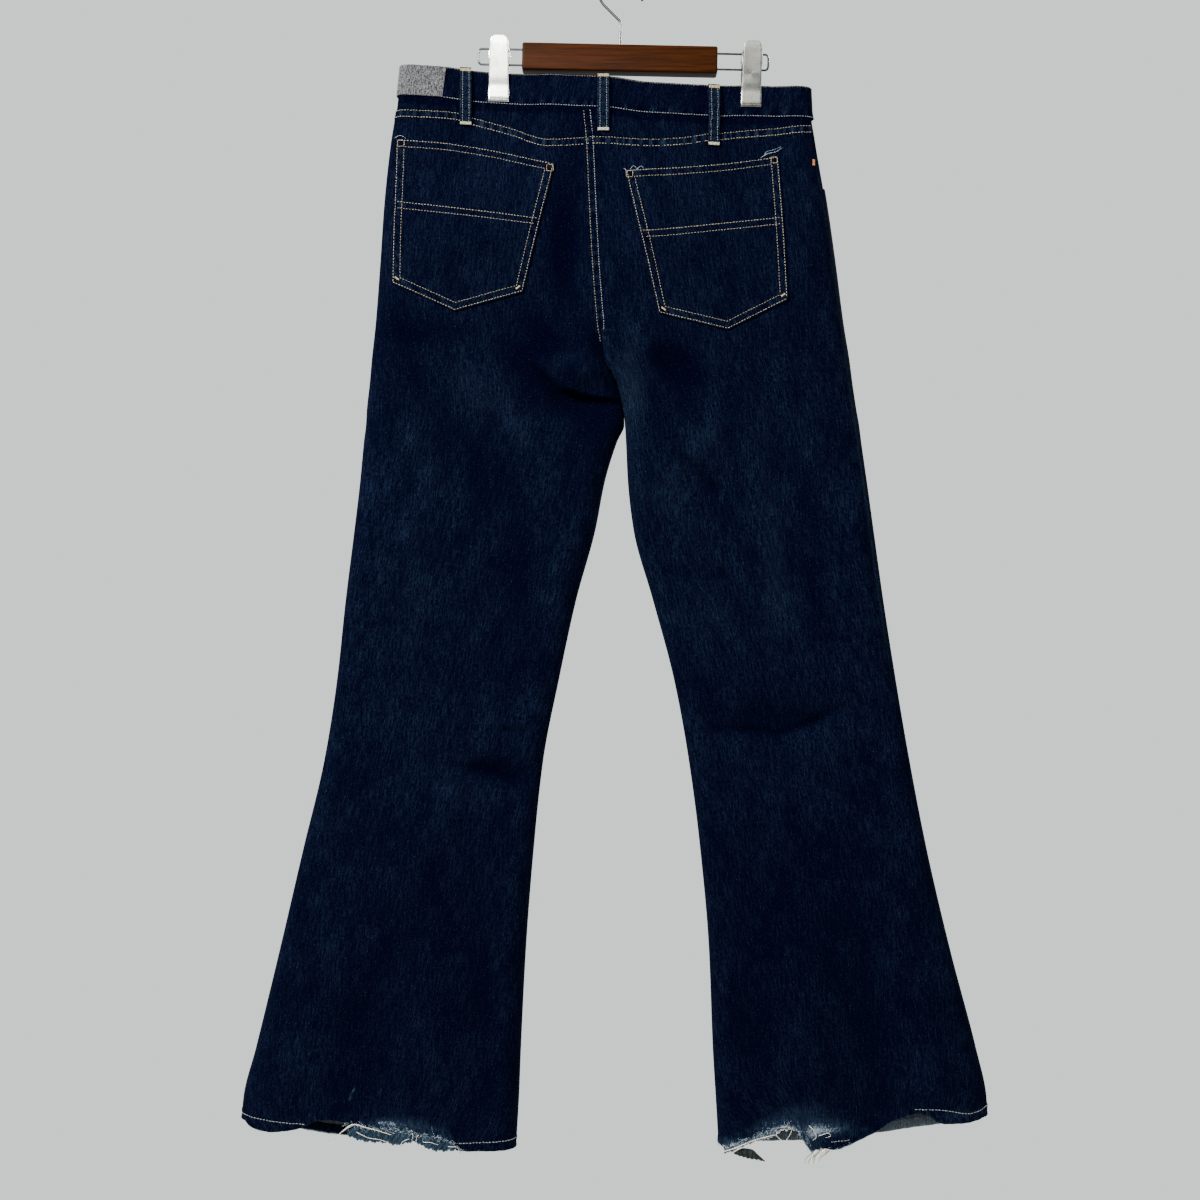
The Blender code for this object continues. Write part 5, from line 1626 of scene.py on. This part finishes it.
def make_bare_turnings():
    """The hems' turned layer, which shows pale where the face has worn off the back hems."""
    for leg, rows in BARE_EDGE.items():
        start, end = rows[0].x, rows[-1].x
        x_row = np.linspace(start, end, 130)
        edge = hem_edge(leg, "back", x_row)
        ends = ease(x_row, start, start + 5) * (1 - ease(x_row, end - 5, end))
        foot = bare_edge[leg](x_row) + 0.7 * np.sin(x_row * 0.7) + 0.6 * np.sin(x_row * 1.7 + 1)
        foot = np.minimum(foot, edge - 0.4) * ends + (edge - 0.6) * (1 - ends)
        z = edge + 4.0 + (foot - edge - 4.0) * np.linspace(0, 1, 30)[:, None]
        x = np.broadcast_to(x_row, z.shape)
        sigma = sigma_at(leg, "back", x, z)
        crumple = 0.5 * np.sin(x * 0.5 + z * 0.6) + 0.4 * np.sin(x * 1.1 - z * 0.8)
        off = -1.5 + crumple + 1.0 * ease(edge - z, 1.0, 5.0)
        bright = 0.3 if leg == "right" else 0.04
        wear_and_painted_light = bright + 0.4 * bell(z - foot, 1.1)
        wear_and_painted_light = wear_and_painted_light + 0.2 * bell(edge - z, 1.4)
        outer, inner, _ = stand_off(leg, sigma, z, off, off - 1.0)
        shell("bare_hem_turning_" + leg, outer, inner, wear_and_painted_light, ("fray",), "back_leg_" + leg)


TATTER = table(
    "x top foot",
    (113.8, -1222.7, -1223.4), (119.7, -1219.6, -1225.8), (125.4, -1217.8, -1227.0),
    (133.1, -1218.9, -1228.8), (140.9, -1225.5, -1229.9), (146.6, -1230.3, -1231.2),
)


def make_tatter():
    """A torn corner of the right hem's turning, wrong side out, that hangs by its weft."""
    x_row = np.linspace(TATTER[0].x, TATTER[-1].x, 26)
    top, foot = read(TATTER, "x", "top")(x_row), read(TATTER, "x", "foot")(x_row)
    foot = foot + 0.5 * np.sin(x_row * 1.4)
    z = top + (foot - top) * np.linspace(0, 1, 16)[:, None]
    x = np.broadcast_to(x_row, z.shape)
    sigma = sigma_at("right", "back", x, z)
    off = -3.2 + 0.5 * np.sin(x * 0.4) + 0.3 * np.sin(z * 0.8)
    outer, inner, _ = stand_off("right", sigma, z, off, off - 0.9)
    shell("torn_hem_tatter_right", outer, inner, 0.0, ("torn",), "back_leg_right")


STRAND_SIDES = 4


def make_strands(name, paths, radii, finish):
    """Fine loose threads in one mesh. Each path is an array of points in millimetres."""
    points, faces = [], []
    for path, radius in zip(paths, radii):
        heading = unit(np.gradient(path, axis=0))
        across = unit(np.cross(heading, (0.3, -1.0, 0.2)))
        other = np.cross(heading, across)
        thin = radius * np.sqrt(np.clip(np.linspace(1.0, 0.15, len(path)), 0, 1))[:, None]
        first = len(points)
        for k in range(STRAND_SIDES):
            angle = math.tau * k / STRAND_SIDES
            spoke = across * math.cos(angle) + other * math.sin(angle)
            points.extend((path + spoke * thin).tolist())
        count = len(path)
        for k in range(STRAND_SIDES):
            one, two = first + k * count, first + (k + 1) % STRAND_SIDES * count
            faces += [(one + n, one + n + 1, two + n + 1, two + n) for n in range(count - 1)]
        ends = [first + k * count for k in range(STRAND_SIDES)]
        faces += [tuple(ends[::-1]), tuple(v + count - 1 for v in ends)]
    mesh = bpy.data.meshes.new(name)
    mesh.from_pydata((np.array(points) * MM).tolist(), [], faces)
    mesh.shade_smooth()
    new_object(name, mesh, (finish,))


def make_hem_fuzz():
    """Short white weft ends all along the worn hems."""
    for leg, count in (("left", 150), ("right", 130)):
        low, high = WORN_SPAN[leg]
        start_x = scatter.uniform(low - 4, high + 26, count)
        edge = hem_edge(leg, "back", start_x)
        start_z = edge + scatter.uniform(-1.5, 3.0, count)
        heading = np.where(scatter.uniform(0, 1, count) < 0.5,
                           scatter.normal(-math.pi / 2, 0.6, count),
                           scatter.choice([0.0, math.pi], count) + scatter.normal(0, 0.45, count))
        length = np.clip(scatter.exponential(2.4, count) + 1.2, 1.2, 9.0)
        curl = scatter.normal(0, 0.32, count)
        x, z = [start_x], [start_z]
        for _ in range(6):
            heading = heading + curl + scatter.normal(0, 0.2, count)
            x.append(x[-1] + np.cos(heading) * length / 6)
            z.append(z[-1] + np.sin(heading) * length / 6)
        x, z = np.array(x).T, np.array(z).T
        sigma = sigma_at(leg, "back", x, z)
        rise = np.linspace(0, 1, 7)[None, :] * scatter.uniform(-0.3, 1.4, count)[:, None]
        paths = stand_off(leg, sigma, z, 0.2 + rise)[0]
        make_strands("hem_fuzz_" + leg, paths, scatter.uniform(0.1, 0.2, count), "weft")


def make_loose_threads():
    for row in LOOSE_THREADS:
        leg = "left" if row.line[0][0] < 0 else "right"
        line = np.array(row.line, float)
        stops = np.linspace(0, 1, 26)
        x, z = (Curve(list(zip(np.linspace(0, 1, len(line)), way)))(stops) for way in line.T)
        sigma = sigma_at(leg, "back", x, z)
        path = stand_off(leg, sigma, z, row.off + 0.5 * np.sin(stops * 9))[0]
        make_strands("loose_thread_" + row.name, [path], [row.radius], row.finish)


# ---- hanger and button ----


def fresh():
    """Nothing selected, ready for the next piece."""
    bpy.ops.object.select_all(action="DESELECT")


def placed(name, finish, node=None):
    """Names the piece just modelled, gives it its finish and lets it ride."""
    piece = bpy.context.active_object
    piece.name = name
    piece.data.name = name
    bpy.ops.object.transform_apply(location=True, rotation=True, scale=True)
    piece.data.materials.clear()
    piece.data.materials.append(FINISH[finish])
    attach(piece, "root")
    if node:
        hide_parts(node)


def hung(name, finish, node=None):
    """Places a piece of the hanger, turned about the hook's top as the whole hanger hangs."""
    bpy.ops.object.transform_apply(location=True, rotation=True, scale=True)
    bpy.context.active_object.data.transform(Matrix.Rotation(TILT, 4, "Y"))
    placed(name, finish, node)


def rounded(width, segments=3, angle=30):
    """Rounds the sharp edges of the piece just modelled, and smooths it."""
    piece = bpy.context.active_object
    bevel = piece.modifiers.new("round", "BEVEL")
    bevel.width = width * MM
    bevel.segments = segments
    bevel.limit_method = "ANGLE"
    bevel.angle_limit = math.radians(angle)
    bpy.ops.object.modifier_apply(modifier="round")
    piece.data.shade_smooth()
    piece.data.set_sharp_from_angle(angle=math.radians(40))


def make_bar():
    fresh()
    bpy.ops.mesh.primitive_cube_add(size=1, location=(0, 0, (BAR_TOP_Z - BAR[2] / 2) * MM))
    bpy.context.active_object.scale = Vector(BAR) * MM
    bpy.ops.object.transform_apply(location=True, scale=True)
    rounded(2.2, segments=4)
    hung("hanger_bar_wood", "walnut", "hanger_bar")


def make_wire(name, points, thickness, finish, node=None, radii=None, sides=3):
    """Round wire drawn through points and closed at both ends; radii are shares of its own."""
    fresh()
    bpy.ops.curve.primitive_nurbs_path_add()
    drawn = bpy.context.active_object
    drawn.data.splines.clear()
    spline = drawn.data.splines.new("POLY")
    spline.points.add(len(points) - 1)
    for k, (point, target) in enumerate(zip(points, spline.points)):
        target.co = (*(Vector(point) * MM), 1)
        target.radius = radii[k] if radii is not None else 1.0
    drawn.data.bevel_depth = thickness / 2 * MM
    drawn.data.bevel_resolution = sides
    drawn.data.use_fill_caps = True
    bpy.ops.object.convert(target="MESH")
    bpy.context.active_object.data.shade_smooth()
    hung(name, finish, node)


def arc(centre_x, centre_z, radius, start, end, count):
    """Points round an arc in the hanger's own plane, angles from +X towards +Z."""
    return [
        (centre_x + radius * math.cos(a), 0.0, centre_z + radius * math.sin(a))
        for a in np.linspace(start, end, count)
    ]


def make_hook():
    """A straight stem that bends into a round hook, thinned at its tip."""
    centre_z = WIRE / 2 - HOOK_RADIUS
    rise = centre_z - STEM_TOP_Z
    lean = math.asin(HOOK_RADIUS / rise)
    points = [(0, 0, BAR_TOP_Z - 6.0), (0, 0, BAR_TOP_Z + 8), (0, 0, STEM_TOP_Z - 4)]
    for x, up in ((-0.15, -2.2), (-0.7, -0.6), (-1.9, 1.0)):
        points.append((x, 0, STEM_TOP_Z + up))
    points += arc(0, centre_z, HOOK_RADIUS, math.pi + lean, HOOK_TIP_TURN, 60)
    tip = math.radians(1.0)
    points += arc(0, centre_z, HOOK_RADIUS, HOOK_TIP_TURN - tip, HOOK_TIP_TURN - 3 * tip, 4)
    radii = [1.0] * (len(points) - 4) + [0.97, 0.86, 0.62, 0.3]
    make_wire("hanger_hook_wire", points, WIRE, "wire", "hanger_hook", radii, sides=5)


def make_rails():
    """A bent wire at each end of the bar, which its clip slides on."""
    for side, end in RAIL_END_X.items():
        facing = 1 if end > 0 else -1
        start = facing * (BAR[0] / 2 - 8)
        upper, lower = RAIL_Z
        middle, radius = (upper + lower) / 2, (upper - lower) / 2
        turn_x = end - facing * RAIL_BEND
        points = [(start, 0, upper)]
        for angle in np.linspace(math.pi / 2, -math.pi / 2, 15):
            squared = math.copysign(abs(math.sin(angle)) ** 0.6, math.sin(angle))
            points.append((turn_x + facing * RAIL_BEND * math.cos(angle) ** 0.7, 0,
                           middle + radius * squared))
        points.append((start, 0, lower))
        make_wire("hanger_rail_wire_" + side, points, RAIL_WIRE, "wire",
                  "hanger_rail_" + side, sides=4)


PLATE = table(
    "z flare narrower",
    (-142.5, 0.0, 0.0), (-130.0, 0.0, 0.0), (-118.0, 0.25, 0.3), (-101.6, 0.6, 0.6),
    (-88.2, 0.88, 0.8), (-82.0, 1.0, 1.0), (-78.5, 1.04, 2.6), (-77.0, 1.06, 6.0),
)
# Across a plate from its middle: share of the half width, and how far the flange has turned in.
FLANGE = table(
    "share turned",
    (0.0, 0.0), (0.3, 0.0), (0.6, 0.0), (0.8, 0.0), (0.89, 0.0), (0.95, 0.12), (0.985, 0.5),
    (1.0, 1.0), (1.0, 1.9), (1.0, 2.8),
)
# Across a whole plate, and up it from the rolled lip of its jaw to the top of its handle.
PLATE_PROFILE = [(-row.share, row.turned) for row in FLANGE[:0:-1]]
PLATE_PROFILE += [(row.share, row.turned) for row in FLANGE]
PLATE_HEIGHTS = np.concatenate([
    np.linspace(-142.5, -139.5, 8), np.linspace(-138.8, -80.0, 26), np.linspace(-79.4, -77.0, 10),
])
LIP_Z = -140.2
EAR_Z = -94.9
EAR_HEIGHT = 12.4
EAR_METAL = 1.2
# How far each plate's ears stand from the clip's middle, and how far from the pin's they end.
EARS = {
    "back": (CLIP_WIDTH / 2, -3.2),
    "front": (CLIP_WIDTH / 2 - 2.0, PIN / 2 + SEAM_GAP),
}


def make_plate(side, place, facing, x, finish):
    """A pressed plate: flared to its handle, its flanges turned in and its lip rolled."""
    flare, narrower = read(PLATE, "z", "flare"), read(PLATE, "z", "narrower")
    columns, levels = len(PLATE_PROFILE), len(PLATE_HEIGHTS)
    fresh()
    bpy.ops.mesh.primitive_grid_add(x_subdivisions=columns - 1, y_subdivisions=levels - 1, size=1)
    plate = bpy.context.active_object
    for vert in plate.data.vertices:
        share, turned = PLATE_PROFILE[round((vert.co.x + 0.5) * (columns - 1))]
        z = float(PLATE_HEIGHTS[round((vert.co.y + 0.5) * (levels - 1))])
        y = JAW_Y + (HANDLE_Y - JAW_Y) * float(flare(z)) + CLIP_METAL
        lip = 0.5 * math.exp(-(((z - LIP_Z) / 0.7) ** 2)) - 0.35 * float(ease(-z, 141.2, 142.5))
        deep = float(ease(z, -128.0, -118.0))
        flange = deep * turned + (1 - deep) * min(turned, 0.45)
        across = share * (CLIP_WIDTH / 2 - float(narrower(z)))
        vert.co = Vector((x + across, facing * (y + lip - flange), z)) * MM
    plate.data.update()
    solid = plate.modifiers.new("thick", "SOLIDIFY")
    solid.thickness = 1.0 * MM
    solid.offset = -1.0
    bpy.ops.object.mode_set(mode="EDIT")
    bpy.ops.mesh.select_all(action="SELECT")
    bpy.ops.mesh.normals_make_consistent(inside=False)
    bpy.ops.object.mode_set(mode="OBJECT")
    if plate.data.polygons[len(plate.data.polygons) // 2].normal.y * facing < 0:
        plate.data.flip_normals()
    bpy.ops.object.modifier_apply(modifier="thick")
    rounded(0.22, segments=2, angle=50)
    hung(f"clip_plate_{side}_{place}", finish, f"clip_{side}_{place}")


def make_ears(side, place, facing, x, finish):
    """The two flat ears that run from a plate to the pin."""
    ear_x, ear_end = EARS[place]
    inner = JAW_Y + (HANDLE_Y - JAW_Y) * 0.62
    for way in (-1, 1):
        fresh()
        bpy.ops.mesh.primitive_cube_add(size=1, location=(
            (x + way * (ear_x - EAR_METAL / 2)) * MM,
            facing * (inner + ear_end) / 2 * MM, EAR_Z * MM))
        bpy.context.active_object.scale = Vector((EAR_METAL, inner - ear_end, EAR_HEIGHT)) * MM
        bpy.ops.object.transform_apply(location=True, scale=True)
        rounded(0.45, segments=2)
        edge = "outer" if way * x > 0 else "inner"
        hung(f"clip_ear_{side}_{place}_{edge}", finish)


def make_clip(side, x):
    """Two plates hinged on a pin, and the spring wound on it."""
    # the left clip takes the near-white steel, a painted reflection, and the right clip the dark
    # one, painted shade
    finish = "steel" if side == "left" else "shaded_steel"
    for place, facing in (("back", -1), ("front", 1)):
        make_plate(side, place, facing, x, finish)
        make_ears(side, place, facing, x, finish)
    make_pin(side, x, finish)


def make_pin(side, x, finish):
    """The clip's pin, and the spring wound round it."""
    fresh()
    pin_z = (RAIL_Z[0] + RAIL_Z[1]) / 2
    half = CLIP_WIDTH / 2
    bpy.ops.mesh.primitive_cylinder_add(
        vertices=24, radius=PIN / 2 * MM, depth=2 * (half + 0.9) * MM,
        location=(x * MM, 0, pin_z * MM), rotation=(0, math.pi / 2, 0))
    rounded(0.5, segments=2)
    hung("clip_hinge_pin_" + side, finish, f"clip_{side}_pin")
    coil = SPRING / 2 - 0.5
    turns = SPRING_LENGTH / 1.05
    start, end = x - SPRING_LENGTH / 2, x + SPRING_LENGTH / 2
    points = [(start, -5.6, pin_z + 13.0), (start, -coil, pin_z + 2.5)]
    for t in np.linspace(0, 1, int(turns * 14)):
        angle = math.pi + t * (turns * math.tau - math.pi)
        points.append((start + SPRING_LENGTH * t, coil * math.cos(angle),
                       pin_z - coil * math.sin(angle)))
    points += [(end, coil, pin_z + 2.5), (end, 5.6, pin_z + 13.0)]
    make_wire("clip_spring_" + side, points, 0.95, "shaded_steel", sides=2)


def make_waist_button():
    """A plain domed shank button with a turned rim."""
    seat_z = float(band_top("front", BUTTON_X)) - BAND_HEIGHT / 2
    sigma = sigma_at("right", "front", BUTTON_X, seat_z)
    outward = Vector(normals("right", sigma, np.array(seat_z)))
    seat = Vector(surface("right", sigma, seat_z)) + outward * (BAND_PROUD + SEAM_GAP)
    turn = outward.to_track_quat("Z", "Y")
    discs = (
        ("waist_button_stem", 4.4, 0.0, 1.8, 0.2), ("waist_button_head", 8.4, 1.5, 1.9, 0.8),
    )
    for name, radius, foot, height, bevel in discs:
        fresh()
        bpy.ops.mesh.primitive_cylinder_add(
            vertices=56, radius=radius * MM, depth=height * MM,
            location=(seat + outward * (foot + height / 2)) * MM, rotation=turn.to_euler())
        rounded(bevel, segments=4)
        placed(name, "copper", "waist_button" if foot else None)
    for name, major, minor, up in (
        ("waist_button_rim", 7.1, 0.45, 3.42), ("waist_button_ring", 4.4, 0.28, 3.45),
    ):
        fresh()
        bpy.ops.mesh.primitive_torus_add(
            major_radius=major * MM, minor_radius=minor * MM, major_segments=56,
            minor_segments=10, location=(seat + outward * up) * MM, rotation=turn.to_euler())
        bpy.context.active_object.data.shade_smooth()
        placed(name, "copper")
    fresh()
    bpy.ops.mesh.primitive_uv_sphere_add(
        segments=40, ring_count=20, radius=3.4 * MM, location=(seat + outward * 3.1) * MM,
        rotation=turn.to_euler(), scale=(1, 1, 0.25))
    bpy.context.active_object.data.shade_smooth()
    placed("waist_button_boss", "copper")


# ---- floor and light ----


FLOOR_RADIUS = 0.78
FLOOR_Z = -1.62


def make_floor():
    """A round pale floor under the jeans that fades out into the studio."""
    fresh()
    bpy.ops.mesh.primitive_circle_add(vertices=64, radius=FLOOR_RADIUS, fill_type="NGON",
                                      location=(0, 0, FLOOR_Z))
    bpy.ops.object.transform_apply(location=True)
    floor = bpy.context.active_object
    floor.name = "studio_floor"
    paint, shader = new_material("pale_floor_paint", Roughness=0.9, Specular_IOR_Level=0.1,
                                 Base_Color=linear("#b4b6b8"))
    place = add(paint, "TexCoord", {}).outputs["Object"]
    flat = add(paint, "VectorMath", {0: place, 1: (1, 1, 0)}, operation="MULTIPLY")
    far = add(paint, "VectorMath", {0: flat}, operation="LENGTH")
    fade = add(paint, "MapRange", {"Value": far, "From Min": 0.2, "From Max": 0.76,
                                   "To Min": 1.0, "To Max": 0.0},
               interpolation_type="SMOOTHSTEP")
    feed(paint, shader, {"Alpha": fade})
    floor.data.materials.append(paint)


LIGHTS_AIM = (0, 0, -0.65)
LIGHTS = table(
    "name place size power colour",
    ("key_upper_left", (-1.9, -2.2, 1.05), 0.8, 265.0, "#fffaf2"),
    ("fill_right", (1.9, -1.7, -0.5), 1.4, 12.0, "#eef4ff"),
    ("glint_on_clip", (-0.3, -2.2, 0.25), 0.85, 26.0, "#ffffff"),
    ("behind_upper_right", (1.7, 2.0, 1.15), 0.8, 120.0, "#fffaf2"),
    ("behind_fill", (-1.6, 1.5, -0.6), 1.4, 8.0, "#eef4ff"),
)


def make_lights():
    world = bpy.data.worlds.new("studio")
    world.use_nodes = True
    sky = world.node_tree.nodes["Background"]
    # the wall that the front of the jeans faces is bright, and the room behind its back is dim
    way = add(world, "TexCoord", {}).outputs["Generated"]
    depth = add(world, "SeparateXYZ", {0: way}).outputs["Y"]
    level = add(world, "MapRange", {"Value": depth, "From Min": -0.5, "From Max": 0.6,
                                    "To Min": 0.42, "To Max": 1.4},
                interpolation_type="SMOOTHSTEP")
    feed(world, sky, {"Color": linear("#dde4e2"), "Strength": level})
    bpy.context.scene.world = world
    for row in LIGHTS:
        lamp = bpy.data.lights.new(row.name, "AREA")
        lamp.size = row.size
        lamp.energy = row.power
        lamp.color = linear(row.colour)[:3]
        holder = bpy.data.objects.new(row.name, lamp)
        holder.location = row.place
        aim = Vector(LIGHTS_AIM) - Vector(row.place)
        holder.rotation_euler = aim.to_track_quat("-Z", "Y").to_euler()
        bpy.context.scene.collection.objects.link(holder)


# ---- the whole garment ----

make_panels()
make_yokes()
make_facings()
make_waistband()
make_waistband_patch()
make_back_pockets()
make_belt_loops()
make_fly_flap()
sew_yoke_and_seat()
sew_hems()
sew_waistband()
sew_pockets()
sew_loops()
sew_front()
build_stitching()
make_bare_turnings()
make_tatter()
make_hem_fuzz()
make_loose_threads()
make_waist_button()
make_bar()
make_hook()
make_rails()
for clip_side, clip_x in CLIP_X.items():
    make_clip(clip_side, clip_x)
make_floor()
make_lights()
